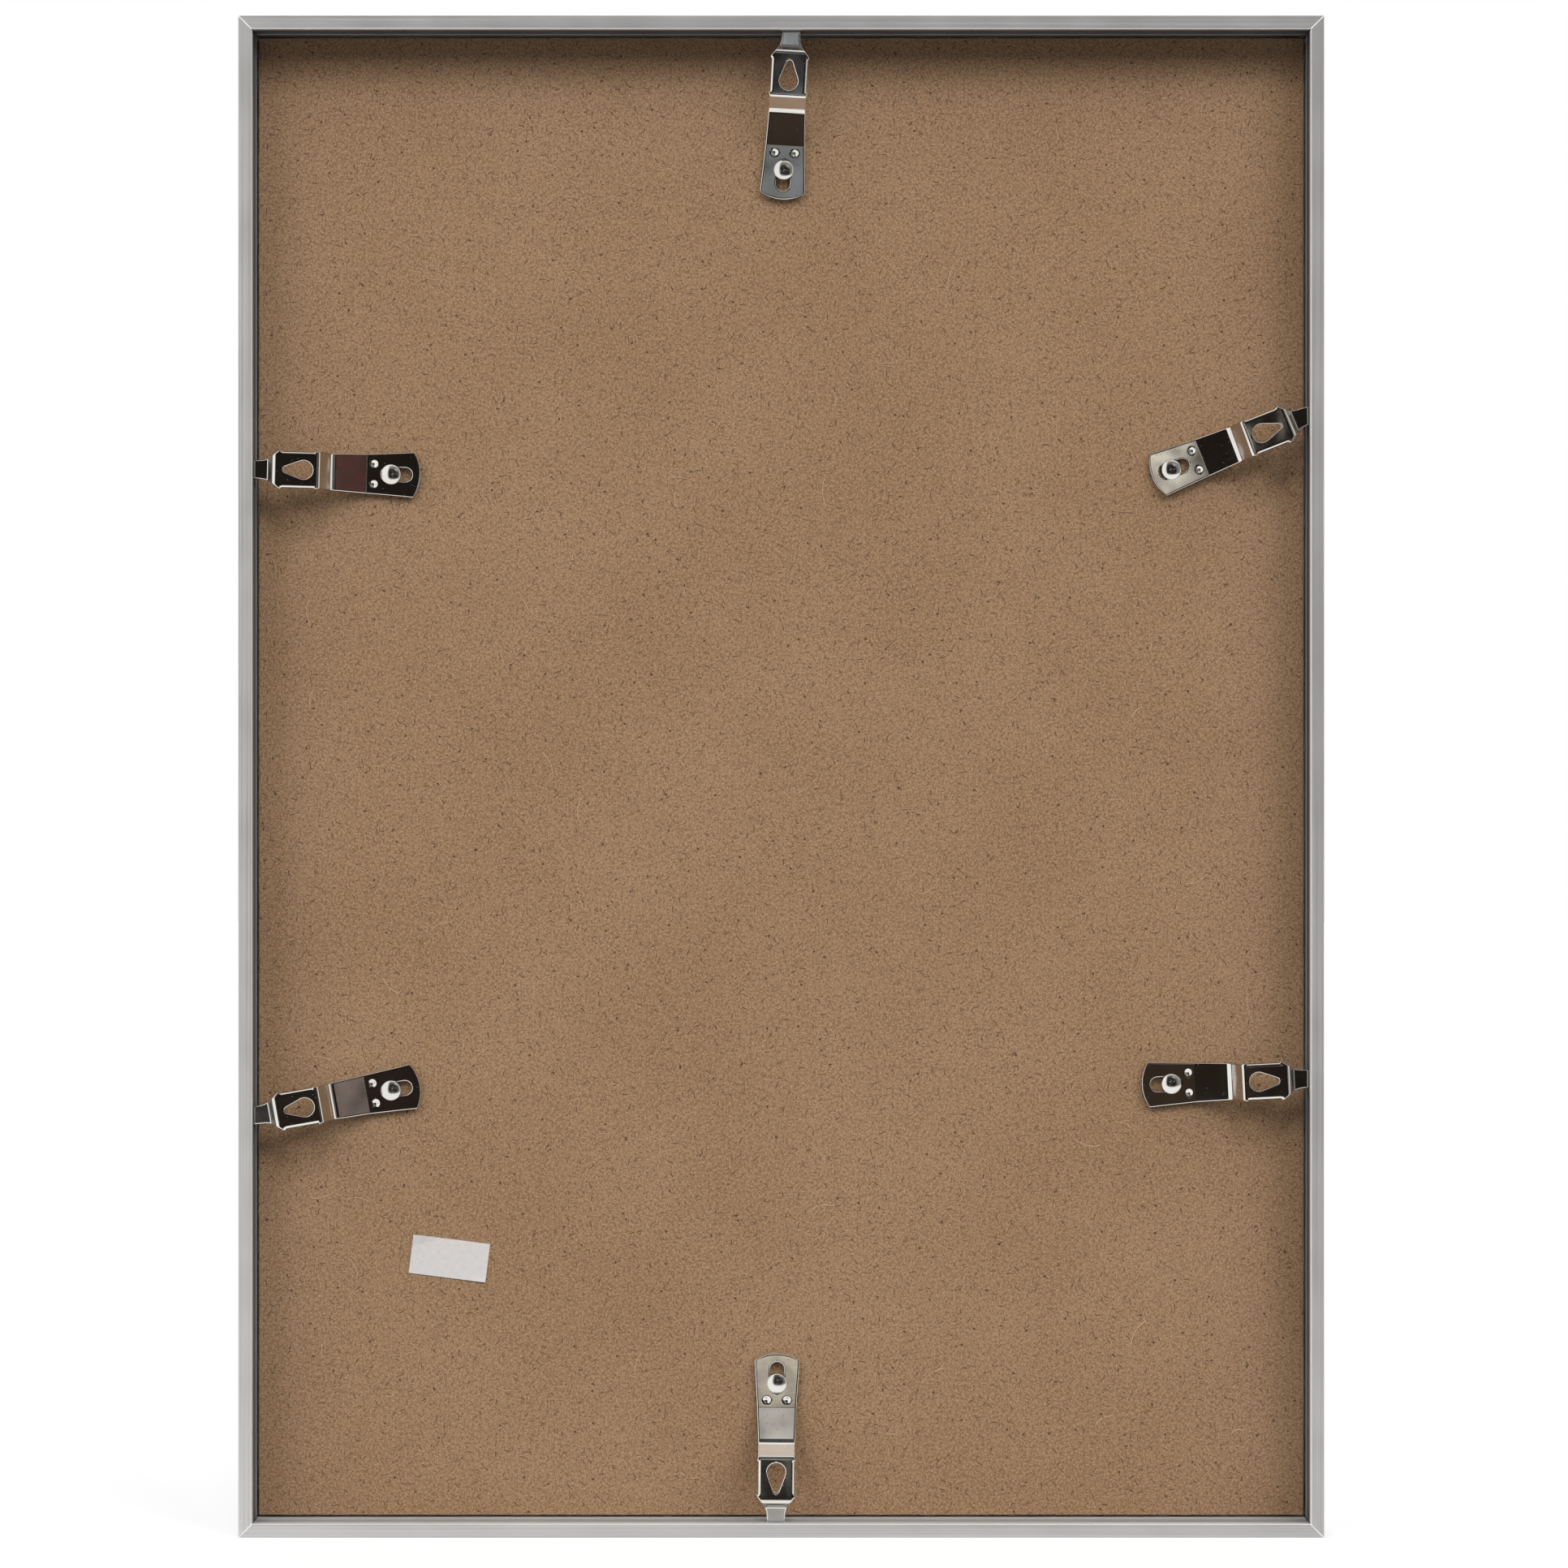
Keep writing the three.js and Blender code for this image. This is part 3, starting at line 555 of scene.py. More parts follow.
def nickel_plate(name, roughness, waviness, bend_dullness=0.0, bend_haze=0.0):
    """Bright plate. A clip's steep wall can get painted shade, darker than the rest, or scatter a share of
    the light.
    """
    finish, tree, shader = new_finish(name, paint(230, 227, 222), roughness, metallic=1.0)
    place = object_place(tree)
    tone = two_tones(tree, cloudiness(tree, place, CAST_SIZE), paint(224, 220, 212), paint(236, 234, 230))
    slope = axes_of(tree, add(tree, "ShaderNodeNewGeometry").outputs["True Normal"])
    steep = fade(tree, slope["Y"], STEEP_FROM, STEEP_TO)
    # Painted shade: steep walls are blended towards a dark brown-grey, which darkens what they mirror
    tone = blend_colours(tree, calculate(tree, "MULTIPLY", steep, bend_dullness), tone, paint(120, 112, 102))
    feed(tree, shader.inputs["Base Color"], tone)
    scattered = calculate(tree, "MULTIPLY", steep, bend_haze)
    feed(tree, shader.inputs["Metallic"], calculate(tree, "SUBTRACT", 1.0, scattered))
    haze = cloudiness(tree, place, HAZE_SIZE, detail=4.0)
    haze = fade(tree, haze, 0.35, 0.75, roughness, roughness + HAZE_ROUGHNESS)
    dust = calculate(tree, "MULTIPLY", strands(tree, flat_place(tree), *DUST), DUST_ROUGHNESS)
    feed(tree, shader.inputs["Roughness"], calculate(tree, "ADD", haze, dust))
    waves = calculate(tree, "MULTIPLY", cloudiness(tree, place, WAVE_SIZE, detail=1.0), waviness)
    pits = calculate(tree, "MULTIPLY", cloudiness(tree, place, PIT_SIZE, detail=2.0), PIT_DEPTH)
    emboss(tree, shader, calculate(tree, "ADD", waves, pits), 1.0, MM)
    return finish


def plain_steel():
    finish, tree, shader = new_finish("key_steel", paint(160, 162, 165), 0.45, metallic=1.0)
    scale = cloudiness(tree, object_place(tree), SCALE_SIZE, detail=5.0)
    tone = two_tones(tree, scale, paint(146, 148, 151), paint(176, 178, 181))
    feed(tree, shader.inputs["Base Color"], tone)
    feed(tree, shader.inputs["Roughness"], fade(tree, scale, NOISE_LOW, NOISE_HIGH, 0.38, 0.55))
    return finish


# The side clips get painted shade on their steep walls
side_nickel = nickel_plate("side_clip_nickel", 0.06, 0.02, bend_dullness=0.45)
end_nickel = nickel_plate("end_clip_nickel", 0.06, 0.02, bend_haze=0.2)
rivet_nickel = nickel_plate("rivet_nickel", 0.14, 0.01)
key_steel = plain_steel()
print("plates:", side_nickel.name, end_nickel.name, rivet_nickel.name)

# %% [markdown]
# ## Paper and glass
#
# The picture sheet and the label are white paper. Even white paper has a faint cloud of fibres, and it
# keeps a flat white from looking like a hole in the picture. The glass is clear, with a trace of green.

# %% Paper and glass finishes
CLOUD_SIZE = 1.6 * MM
PAPER_DEPTH = 0.02 * MM
RIPPLE_SIZE = 60 * MM
RIPPLE_DEPTH = 0.1 * MM


def paper_finish(name, light, shade):
    finish, tree, shader = new_finish(name, light, 0.85)
    cloud = cloudiness(tree, flat_place(tree), CLOUD_SIZE, detail=6.0)
    feed(tree, shader.inputs["Base Color"], two_tones(tree, cloud, shade, light))
    emboss(tree, shader, cloud, 0.2, PAPER_DEPTH)
    return finish


def clear_glass():
    finish, tree, shader = new_finish("clear_glass", paint(252, 254, 253), 0.02)
    shader.inputs["Transmission Weight"].default_value = 1.0
    shader.inputs["IOR"].default_value = 1.5
    emboss(tree, shader, cloudiness(tree, object_place(tree), RIPPLE_SIZE, detail=1.0), 0.05, RIPPLE_DEPTH)
    return finish


picture_paper = paper_finish("picture_paper", paint(244, 241, 235), paint(238, 235, 228))
label_paper = paper_finish("label_paper", paint(198, 194, 192), paint(192, 188, 186))
print("papers:", picture_paper.name, label_paper.name)

# %% Finishes for the solids that stay
def dress(finish, *names):
    for name in names:
        nodes[name].data.materials.clear()
        nodes[name].data.materials.append(finish)


dress(aluminium_top, "rail_top")
dress(aluminium_bottom, "rail_bottom")
dress(aluminium_upright, "rail_left", "rail_right")
dress(key_steel, *[name for name in nodes if name.startswith("corner_key")])
dress(hardboard, "back_board")
dress(picture_paper, "picture_sheet")
dress(clear_glass(), "glazing")
print("solids that stay:", sum(not name.startswith(("clip", "rivet", "blank_label")) for name in nodes))

# %% [markdown]
# ## Helpers for Geometry Nodes
#
# A tree's inputs are named here and set on a modifier by their identifiers. Once a tree has done its work,
# the result is turned into a plain mesh at the origin, one for each moving body, and the object that
# carried the modifiers is deleted.

# %% Geometry Nodes helpers
def new_tree(name, **inputs):
    tree = bpy.data.node_groups.new(name, "GeometryNodeTree")
    tree.is_modifier = True
    sockets = {"Geometry": "NodeSocketGeometry", **inputs}
    for label, kind in sockets.items():
        tree.interface.new_socket(label, in_out="INPUT", socket_type=kind)
    tree.interface.new_socket("Geometry", in_out="OUTPUT", socket_type="NodeSocketGeometry")
    return tree, add(tree, "NodeGroupInput").outputs


def end_tree(tree, geometry, finish):
    """Every tree ends in real geometry with a finish."""
    realize = add(tree, "GeometryNodeRealizeInstances")
    feed(tree, realize.inputs["Geometry"], geometry)
    coat = add(tree, "GeometryNodeSetMaterial")
    feed(tree, coat.inputs["Geometry"], realize.outputs["Geometry"])
    feed(tree, coat.inputs["Material"], finish)
    feed(tree, add(tree, "NodeGroupOutput").inputs[0], coat.outputs["Geometry"])


def seat(tree, geometry, place, turn):
    """Lays geometry whose z is up from the board on the board, turned about the way out of it."""
    tilt = add(tree, "ShaderNodeCombineXYZ")
    tilt.inputs["X"].default_value = -math.pi / 2
    feed(tree, tilt.inputs["Y"], turn)
    move = add(tree, "GeometryNodeTransform")
    feed(tree, move.inputs["Geometry"], geometry)
    feed(tree, move.inputs["Translation"], place)
    feed(tree, move.inputs["Rotation"], tilt.outputs[0])
    return move.outputs["Geometry"]


def use_tree(thing, tree, values):
    modifier = thing.modifiers.new(tree.name, "NODES")
    modifier.node_group = tree
    for item in tree.interface.items_tree:
        if item.in_out == "INPUT" and item.name in values:
            modifier[item.identifier] = values[item.name]


def new_thing(name, mesh):
    thing = bpy.data.objects.new(name, mesh)
    bpy.context.collection.objects.link(thing)
    return thing


def plain_piece(worked, name, sharp_angle=35):
    """The worked object's result as a plain mesh, smooth but for its sharp edges."""
    bpy.context.view_layer.update()
    graph = bpy.context.evaluated_depsgraph_get()
    mesh = bpy.data.meshes.new_from_object(worked.evaluated_get(graph))
    mesh.name = name
    bpy.data.objects.remove(worked)
    mesh.polygons.foreach_set("use_smooth", [True] * len(mesh.polygons))
    mesh.set_sharp_from_angle(angle=math.radians(sharp_angle))
    return new_thing(name, mesh)


# %% [markdown]
# ## Where the clips are
#
# The CAD record holds a hinge for each rivet and a slide along each clip, so their points and directions
# give the places. How far a clip is slid out is measured on its CAD solid, from the rivet to the tip.

# %% Places of clips and rivets
joints = {joint["name"]: joint for joint in frame["joints"]}
clip_names = [name[: -len("_swing")] for name in joints if name.endswith("_swing")]
pivots = {name: Vector(joints[f"{name}_swing"]["pos_m"]) for name in clip_names}
headings = {name: Vector(joints[f"{name}_slide"]["axis"]).normalized() for name in clip_names}
turns = {name: math.atan2(-heading.z, heading.x) for name, heading in headings.items()}
reaches = {
    name: max((v.co - pivots[name]).dot(headings[name]) for v in nodes[f"clip_{name}"].data.vertices)
    for name in clip_names
}
for name in clip_names:
    print(f"{name}: turned {math.degrees(turns[name]):.1f} degrees, reaches {reaches[name] / MM:.1f} mm")

# %% [markdown]
# ## Spring clips
#
# A clip is a strip of spring steel, blanked flat with a slot and a teardrop hole, then bent. It is made the
# same way here. The blank is two sheets of quads, its top and its bottom. They run from the holes to the
# outline and meet in a rounded edge all round. A tree then bends the blank along its side view, which is a
# curve: each point goes as far along the curve as it was along the blank. A slow noise leaves each clip out
# of true by some hundredths of a millimetre, because a perfectly flat mirror looks false. One clip is more
# worn: it is warped more than the others, and tilted by two degrees.

# %% Side view of a clip
CLIP_LENGTH = 48.4
SHEET = 0.6
TAIL_HEIGHT = 0.9
KNEE_HEIGHT = 3.2
PLATEAU_HEIGHT = 7.65
TOE_HEIGHT = 5.68
TIP_HEIGHT = 5.42
FOLD = 15.3
KNEE = 24.9
CREST = 28.2
SHOULDER = 40.6
TOE = 42.5
NARROW = 44.6
SIDE_VIEW = (
    (0.0, TAIL_HEIGHT, 0.0),
    (FOLD, TAIL_HEIGHT, 0.8),
    (KNEE, KNEE_HEIGHT, 2.6),
    (CREST, PLATEAU_HEIGHT, 0.8),
    (SHOULDER, PLATEAU_HEIGHT, 1.2),
    (TOE, TOE_HEIGHT, 0.8),
    (CLIP_LENGTH, TIP_HEIGHT, 0.0),
)
PATH_STEP = 0.1
BEND_STEPS = 14


def rounded_path(corners):
    """Points of a line through corners, given as station, height and bend radius."""
    points = [Vector(corners[0][:2])]
    for before, (station, height, radius), after in zip(corners, corners[1:], corners[2:]):
        here = Vector((station, height))
        way_in = (here - Vector(before[:2])).normalized()
        way_out = (Vector(after[:2]) - here).normalized()
        bend = math.atan2(way_in.x * way_out.y - way_in.y * way_out.x, way_in.dot(way_out))
        start = here - way_in * radius * math.tan(abs(bend) / 2)
        centre = start + Vector((-way_in.y, way_in.x)) * math.copysign(radius, bend)
        for step in range(BEND_STEPS + 1):
            turn = Matrix.Rotation(bend * step / BEND_STEPS, 2)
            points.append(centre + turn @ (start - centre))
    points.append(Vector(corners[-1][:2]))
    return points


def evenly(points, step):
    """The same line with a point at least every step."""
    dense = [points[0]]
    for start, end in zip(points, points[1:]):
        parts = max(1, math.ceil((end - start).length / step))
        dense += [start.lerp(end, part / parts) for part in range(1, parts + 1)]
    return dense


side_line = evenly(rounded_path(SIDE_VIEW), PATH_STEP)
line_stations = [point.x for point in side_line]
line_lengths = [0.0]
for start, end in zip(side_line, side_line[1:]):
    line_lengths.append(line_lengths[-1] + (end - start).length)


def length_at(station):
    """How far along the flat blank a station of the bent clip is."""
    i = min(max(bisect.bisect_left(line_stations, station), 1), len(side_line) - 1)
    low, high = line_stations[i - 1], line_stations[i]
    share = (station - low) / (high - low)
    return line_lengths[i - 1] + share * (line_lengths[i] - line_lengths[i - 1])


def side_view_curve():
    curve = bpy.data.curves.new("clip_side_view", "CURVE")
    curve.dimensions = "3D"
    line = curve.splines.new("POLY")
    line.points.add(len(side_line) - 1)
    for point, place in zip(line.points, side_line):
        point.co = (place.x * MM, 0, place.y * MM, 1)
    return new_thing("clip_side_view", curve)


print("blank is", round(line_lengths[-1], 1), "mm long for a clip of", CLIP_LENGTH)

# %% Outline and holes of the blank
TAIL_HALF = 6.4
TAIL_BULGE = 2.0
BULGE_REACH = 6.0
FOLD_HALF = 5.6
KNEE_HALF = 5.2
PLATEAU_HALF = 5.64
TONGUE_HALF = 2.65
TIP_HALF = 2.45
TIP_CORNER = 0.6
TAPER_POWER = 1.67
ROLL_START = 28.9
ROLL_END = 39.0
ROLL_RAMP = 0.6
SLOT_START = 2.4
SLOT_END = 11.2
SLOT_RADIUS = 2.0
WIDE_STATION = 32.3
WIDE_RADIUS = 2.6
NECK_STATION = 37.2
NECK_RADIUS = 0.9
HALVINGS = 30
HOLE_ROOM = 0.1
SLOPE_STEP = 0.05
NECK_LEAN = math.asin((WIDE_RADIUS - NECK_RADIUS) / (NECK_STATION - WIDE_STATION))
OUTLINE = (
    (0.0, TAIL_HALF),
    (TAIL_BULGE, TAIL_HALF),
    (FOLD, FOLD_HALF),
    (KNEE, KNEE_HALF),
    (ROLL_START - ROLL_RAMP, KNEE_HALF),
    (ROLL_START + ROLL_RAMP, PLATEAU_HALF),
    (ROLL_END, PLATEAU_HALF),
)


def half_width(station):
    if station <= ROLL_END:
        for (low, first), (high, last) in zip(OUTLINE, OUTLINE[1:]):
            if station <= high:
                return first + (last - first) * (station - low) / (high - low)
    if station <= NARROW:
        narrowing = 1 - (station - ROLL_END) / (NARROW - ROLL_END)
        return TONGUE_HALF + (PLATEAU_HALF - TONGUE_HALF) * narrowing**TAPER_POWER
    corner = CLIP_LENGTH - TIP_CORNER
    if station <= corner:
        return TONGUE_HALF + (TIP_HALF - TONGUE_HALF) * (station - NARROW) / (corner - NARROW)
    return TIP_HALF - (station - corner)


def hole_gap(station, across):
    """Distance outside the slot's and the teardrop's edges, and less than nothing inside them."""
    nearest = min(max(station, SLOT_START + SLOT_RADIUS), SLOT_END - SLOT_RADIUS)
    slot = math.hypot(station - nearest, across) - SLOT_RADIUS
    along = station - WIDE_STATION
    on_side = along * math.cos(NECK_LEAN) - across * math.sin(NECK_LEAN)
    if on_side < 0:
        drop = math.hypot(along, across) - WIDE_RADIUS
    elif on_side > (NECK_STATION - WIDE_STATION) * math.cos(NECK_LEAN):
        drop = math.hypot(station - NECK_STATION, across) - NECK_RADIUS
    else:
        drop = along * math.sin(NECK_LEAN) + across * math.cos(NECK_LEAN) - WIDE_RADIUS
    return min(slot, drop)


def hole_half(station):
    """Half the width of the hole at a station, found by halving, or nothing where there is no hole."""
    inside, outside = 0.0, WIDE_RADIUS + HOLE_ROOM
    if hole_gap(station, inside) >= 0:
        return 0.0
    for _ in range(HALVINGS):
        between = (inside + outside) / 2
        if hole_gap(station, between) < 0:
            inside = between
        else:
            outside = between
    return outside


def edge_gap(station, across):
    """Distance to the nearest edge of the blank."""
    slope = (half_width(station + SLOPE_STEP) - half_width(station - SLOPE_STEP)) / (2 * SLOPE_STEP)
    side = (half_width(station) - across) / math.hypot(1, slope)
    return max(0.0, min(side, station, CLIP_LENGTH - station, hole_gap(station, across)))


print("teardrop is", round(NECK_STATION + NECK_RADIUS - WIDE_STATION + WIDE_RADIUS, 1), "mm long")

# %% Rows and columns of the blank
EVEN_ROWS = 90
HOLE_ROWS = 9
BEND_ROWS = 5
DIMPLE_ROWS = 8
ROW_GAP = 0.02
MIDDLE_COLUMNS = 14
COARSE_COLUMNS = 3
ROLL_COLUMNS = 5
ROLL_ROOM = 1.5
EDGE_ROUND = 0.27
EDGE_ANGLES = (90, 66, 44, 22, 0)
EDGE_STEPS = [EDGE_ROUND * (1 - math.sin(math.radians(angle))) for angle in EDGE_ANGLES]
DIMPLE_STATION = 13.3
DIMPLE_ACROSS = 2.875
DIMPLE_RADIUS = 1.25
DIMPLE_RIM = 1.1 * DIMPLE_RADIUS
DIMPLE_REACH = 2.8
HOLE_ENDS = (
    (SLOT_START, SLOT_RADIUS),
    (SLOT_END, -SLOT_RADIUS),
    (WIDE_STATION - WIDE_RADIUS, WIDE_RADIUS),
    (NECK_STATION + NECK_RADIUS, -NECK_RADIUS),
)


def smooth(share):
    share = min(1.0, max(0.0, share))
    return share * share * (3 - 2 * share)


def row_stations():
    """Where rows of points cross the blank: evenly, and closer at bends, dimples, holes and ends."""
    fixed = set(EDGE_STEPS) | {CLIP_LENGTH - step for step in EDGE_STEPS}
    free = {i * CLIP_LENGTH / EVEN_ROWS for i in range(EVEN_ROWS + 1)}
    for corner, _, radius in SIDE_VIEW[1:-1]:
        free |= {corner + i * radius / BEND_ROWS for i in range(-BEND_ROWS, BEND_ROWS + 1)}
    free |= {DIMPLE_STATION + i * DIMPLE_RADIUS / DIMPLE_ROWS for i in range(-DIMPLE_ROWS, DIMPLE_ROWS + 1)}
    for end, reach in HOLE_ENDS:
        fixed |= {end - math.copysign(step, reach) for step in EDGE_STEPS}
        free |= {end + reach * (1 - math.cos(i / HOLE_ROWS * math.pi / 2)) for i in range(1, HOLE_ROWS + 1)}
    rows = sorted(fixed)
    for station in sorted(free):
        i = bisect.bisect_left(rows, station)
        if all(abs(station - near) > ROW_GAP for near in rows[max(0, i - 1) : i + 1]):
            rows.insert(i, station)
    return rows


def across_points(station):
    """Distances from the middle line: close by a hole, by the edge and over a dimple."""
    inner, edge = hole_half(station), half_width(station)
    first, last = inner + EDGE_ROUND, edge - EDGE_ROUND
    roll = max(edge - ROLL_ROOM, (first + last) / 2)
    rim = DIMPLE_ACROSS - DIMPLE_RIM
    near_dimple = smooth(DIMPLE_REACH - abs(station - DIMPLE_STATION))
    points = [inner + step for step in EDGE_STEPS]
    for i in range(1, MIDDLE_COLUMNS):
        even = first + (roll - first) * i / MIDDLE_COLUMNS
        share = (i - COARSE_COLUMNS) / (MIDDLE_COLUMNS - COARSE_COLUMNS)
        close = rim + (roll - rim) * share
        if share < 0:
            close = first + (rim - first) * i / COARSE_COLUMNS
        points.append(even + near_dimple * (close - even))
    points += [roll + (last - roll) * i / ROLL_COLUMNS for i in range(ROLL_COLUMNS)]
    return points + [edge - step for step in reversed(EDGE_STEPS)]


print("rows across the blank:", len(row_stations()))

# %% Flat blank
ROLL_FLAT = 4.3
ROLL_RADIUS = 0.6
DIMPLE_DEPTH = 0.5
MERGE_DISTANCE = 0.0005 * MM
TAIL_RADIUS = (TAIL_HALF**2 + TAIL_BULGE**2) / (2 * TAIL_BULGE)


def pressed(station, across):
    """Distance from the middle line, height and lean, once edges are rolled down and dimples pressed."""
    out, height, lean = across, 0.0, 0.0
    beyond = across - ROLL_FLAT
    rise = smooth((station - ROLL_START) / ROLL_RAMP) * smooth((ROLL_END - station) / ROLL_RAMP)
    if beyond > 0 and rise > 0:
        angle = min(beyond / ROLL_RADIUS, math.pi / 2)
        rolled = ROLL_FLAT + ROLL_RADIUS * math.sin(angle)
        drop = ROLL_RADIUS * (1 - math.cos(angle)) + beyond - ROLL_RADIUS * angle
        out += rise * (rolled - out)
        height -= rise * drop
        lean = rise * angle
    from_dimple = math.hypot(station - DIMPLE_STATION, across - DIMPLE_ACROSS) / DIMPLE_RADIUS
    height -= DIMPLE_DEPTH * max(0.0, 1 - from_dimple**2) ** 2
    return out, height, lean


def blank_point(station, across, side, face):
    """A point of the blank's top (face 1) or bottom (face -1). side says which half it is in."""
    inside = min(1.0, edge_gap(station, across) / EDGE_ROUND)
    thick = face * SHEET / 2 * math.sqrt(1 - (1 - inside) ** 2)
    bulge = TAIL_RADIUS - math.sqrt(TAIL_RADIUS**2 - across**2)
    place = station + bulge * max(0.0, 1 - station / BULGE_REACH) ** 2
    out, height, lean = pressed(place, across)
    out += thick * math.sin(lean)
    height += thick * math.cos(lean)
    return Vector((length_at(place), side * out, height)) * MM


def clip_blank():
    work = bmesh.new()
    places = [(station, across) for station in row_stations() for across in across_points(station)]
    columns = len(across_points(0.0))
    for side in (-1, 1):
        for face in (-1, 1):
            points = [work.verts.new(blank_point(*place, side, face)) for place in places]
            for start in range(0, len(points) - columns, columns):
                for i in range(start, start + columns - 1):
                    work.faces.new((points[i], points[i + columns], points[i + columns + 1], points[i + 1]))
    bmesh.ops.remove_doubles(work, verts=work.verts, dist=MERGE_DISTANCE)
    bmesh.ops.recalc_face_normals(work, faces=work.faces)
    mesh = bpy.data.meshes.new("clip_blank")
    work.to_mesh(mesh)
    loose = sum(not edge.is_manifold for edge in work.edges)
    work.free()
    print("blank faces:", len(mesh.polygons), "open edges:", loose)
    return mesh


blank = clip_blank()

# %% Tree that bends and seats a clip
WARP_SIZE = 12 * MM


def warped_height(tree, place, flat, seed, warp, tilt):
    """The blank's height with slow noise added, and tilted a little from side to side."""
    moved = add(tree, "ShaderNodeVectorMath", operation="MULTIPLY_ADD")
    feed(tree, moved.inputs[0], place)
    moved.inputs[1].default_value = (1 / WARP_SIZE, 1 / WARP_SIZE, 0)
    shift = add(tree, "ShaderNodeCombineXYZ")
    feed(tree, shift.inputs["Z"], seed)
    feed(tree, moved.inputs[2], shift.outputs[0])
    noise = add(tree, "ShaderNodeTexNoise")
    noise.inputs["Scale"].default_value = 1.0
    noise.inputs["Detail"].default_value = 1.0
    feed(tree, noise.inputs["Vector"], moved.outputs[0])
    lift = calculate(tree, "MULTIPLY", calculate(tree, "SUBTRACT", noise.outputs[0], 0.5), warp)
    lean = calculate(tree, "MULTIPLY", flat["Y"], tilt)
    return calculate(tree, "ADD", flat["Z"], calculate(tree, "ADD", lift, lean))


def bent_place(tree, given):
    """Where a point of the blank goes: along the side view, off it by its height, and to the side."""
    place = add(tree, "GeometryNodeInputPosition").outputs[0]
    flat = axes_of(tree, place)
    side_view = add(tree, "GeometryNodeObjectInfo")
    feed(tree, side_view.inputs["Object"], given["Side_View"])
    follow = add(tree, "GeometryNodeSampleCurve", mode="LENGTH")
    feed(tree, follow.inputs["Curves"], side_view.outputs["Geometry"])
    feed(tree, follow.inputs["Length"], flat["X"])
    upwards = add(tree, "ShaderNodeVectorMath", operation="CROSS_PRODUCT")
    feed(tree, upwards.inputs[0], follow.outputs["Tangent"])
    upwards.inputs[1].default_value = (0, 1, 0)
    raised = add(tree, "ShaderNodeVectorMath", operation="SCALE")
    feed(tree, raised.inputs[0], upwards.outputs[0])
    height = warped_height(tree, place, flat, given["Seed"], given["Warp"], given["Tilt"])
    feed(tree, raised.inputs["Scale"], height)
    beside = add(tree, "ShaderNodeCombineXYZ")
    feed(tree, beside.inputs["X"], given["Shift"])
    feed(tree, beside.inputs["Y"], flat["Y"])
    total = follow.outputs["Position"]
    for part in (raised.outputs[0], beside.outputs[0]):
        joined = add(tree, "ShaderNodeVectorMath", operation="ADD")
        feed(tree, joined.inputs[0], total)
        feed(tree, joined.inputs[1], part)
        total = joined.outputs[0]
    return total


def bending_tree():
    tree, given = new_tree(
        "bend_clip",
        Side_View="NodeSocketObject",
        Shift="NodeSocketFloat",
        Seed="NodeSocketFloat",
        Warp="NodeSocketFloat",
        Tilt="NodeSocketFloat",
        Place="NodeSocketVector",
        Turn="NodeSocketFloat",
        Finish="NodeSocketMaterial",
    )
    bend = add(tree, "GeometryNodeSetPosition")
    feed(tree, bend.inputs["Geometry"], given["Geometry"])
    feed(tree, bend.inputs["Position"], bent_place(tree, given))
    seated = seat(tree, bend.outputs["Geometry"], given["Place"], given["Turn"])
    end_tree(tree, seated, given["Finish"])
    return tree


bend_clip = bending_tree()
print("nodes that bend and seat a clip:", len(bend_clip.nodes))

# %% Make the clips
CLIP_WARP = 0.08 * MM
SEED_STEP = 3.7
END_CLIPS = ("top", "bottom")
WORN_CLIP = "left_upper"
WORN_WARP = 0.2 * MM
WORN_TILT = -math.tan(math.radians(2))

side_curve = side_view_curve()
for seed, name in enumerate(clip_names):
    worn = name == WORN_CLIP
    strip = new_thing(f"strip_{name}", blank.copy())
    use_tree(strip, bend_clip, {
        "Side_View": side_curve,
        "Shift": reaches[name] - CLIP_LENGTH * MM,
        "Seed": SEED_STEP * seed,
        "Warp": WORN_WARP if worn else CLIP_WARP,
        "Tilt": WORN_TILT if worn else 0.0,
        "Place": pivots[name],
        "Turn": turns[name],
        "Finish": end_nickel if name in END_CLIPS else side_nickel,
    })
    clip = plain_piece(strip, f"spring_clip_{name}")
    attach(clip, f"{name}_clip")
    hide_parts(f"clip_{name}")
    print(clip.name, "faces:", len(clip.data.polygons))
bpy.data.objects.remove(side_curve)

# %% [markdown]
# ## Rivets
#
# Each clip turns on a rivet with a low domed head. A rivet is a turned part, so it is a profile swept round
# its own axis, and the dome is a cap of a larger ball. A small tree seats a copy on each hinge point.

# %% Rivet shape and tree
ROUND_STEPS = 56
DOME_STEPS = 12
HEAD_RADIUS = 2.8
HEAD_BASE = 1.35
HEAD_RIM = 0.35
HEAD_DOME = 0.85
RIM_ROUND = 0.12
SHANK_RADIUS = 1.8
FOOT_RADIUS = 3.0
FOOT_LOW = -2.35
FOOT_HIGH = -1.85
BORE_RADIUS = 1.0
BORE_TOP = -0.75


def rivet_profile():
    profile = [(0.0, BORE_TOP), (BORE_RADIUS, BORE_TOP), (BORE_RADIUS, FOOT_LOW), (FOOT_RADIUS, FOOT_LOW)]
    profile += [(FOOT_RADIUS, FOOT_HIGH), (SHANK_RADIUS, FOOT_HIGH), (SHANK_RADIUS, HEAD_BASE)]
    profile += [(HEAD_RADIUS - RIM_ROUND, HEAD_BASE), (HEAD_RADIUS, HEAD_BASE + RIM_ROUND)]
    cap = HEAD_RADIUS - RIM_ROUND / 2
    rim = HEAD_BASE + HEAD_RIM
    profile += [(HEAD_RADIUS, rim - RIM_ROUND)]
    ball = (cap**2 + HEAD_DOME**2) / (2 * HEAD_DOME)
    for step in range(DOME_STEPS + 1):
        angle = math.asin(cap / ball) * (1 - step / DOME_STEPS)
        profile.append((ball * math.sin(angle), rim + HEAD_DOME - ball * (1 - math.cos(angle))))
    return profile


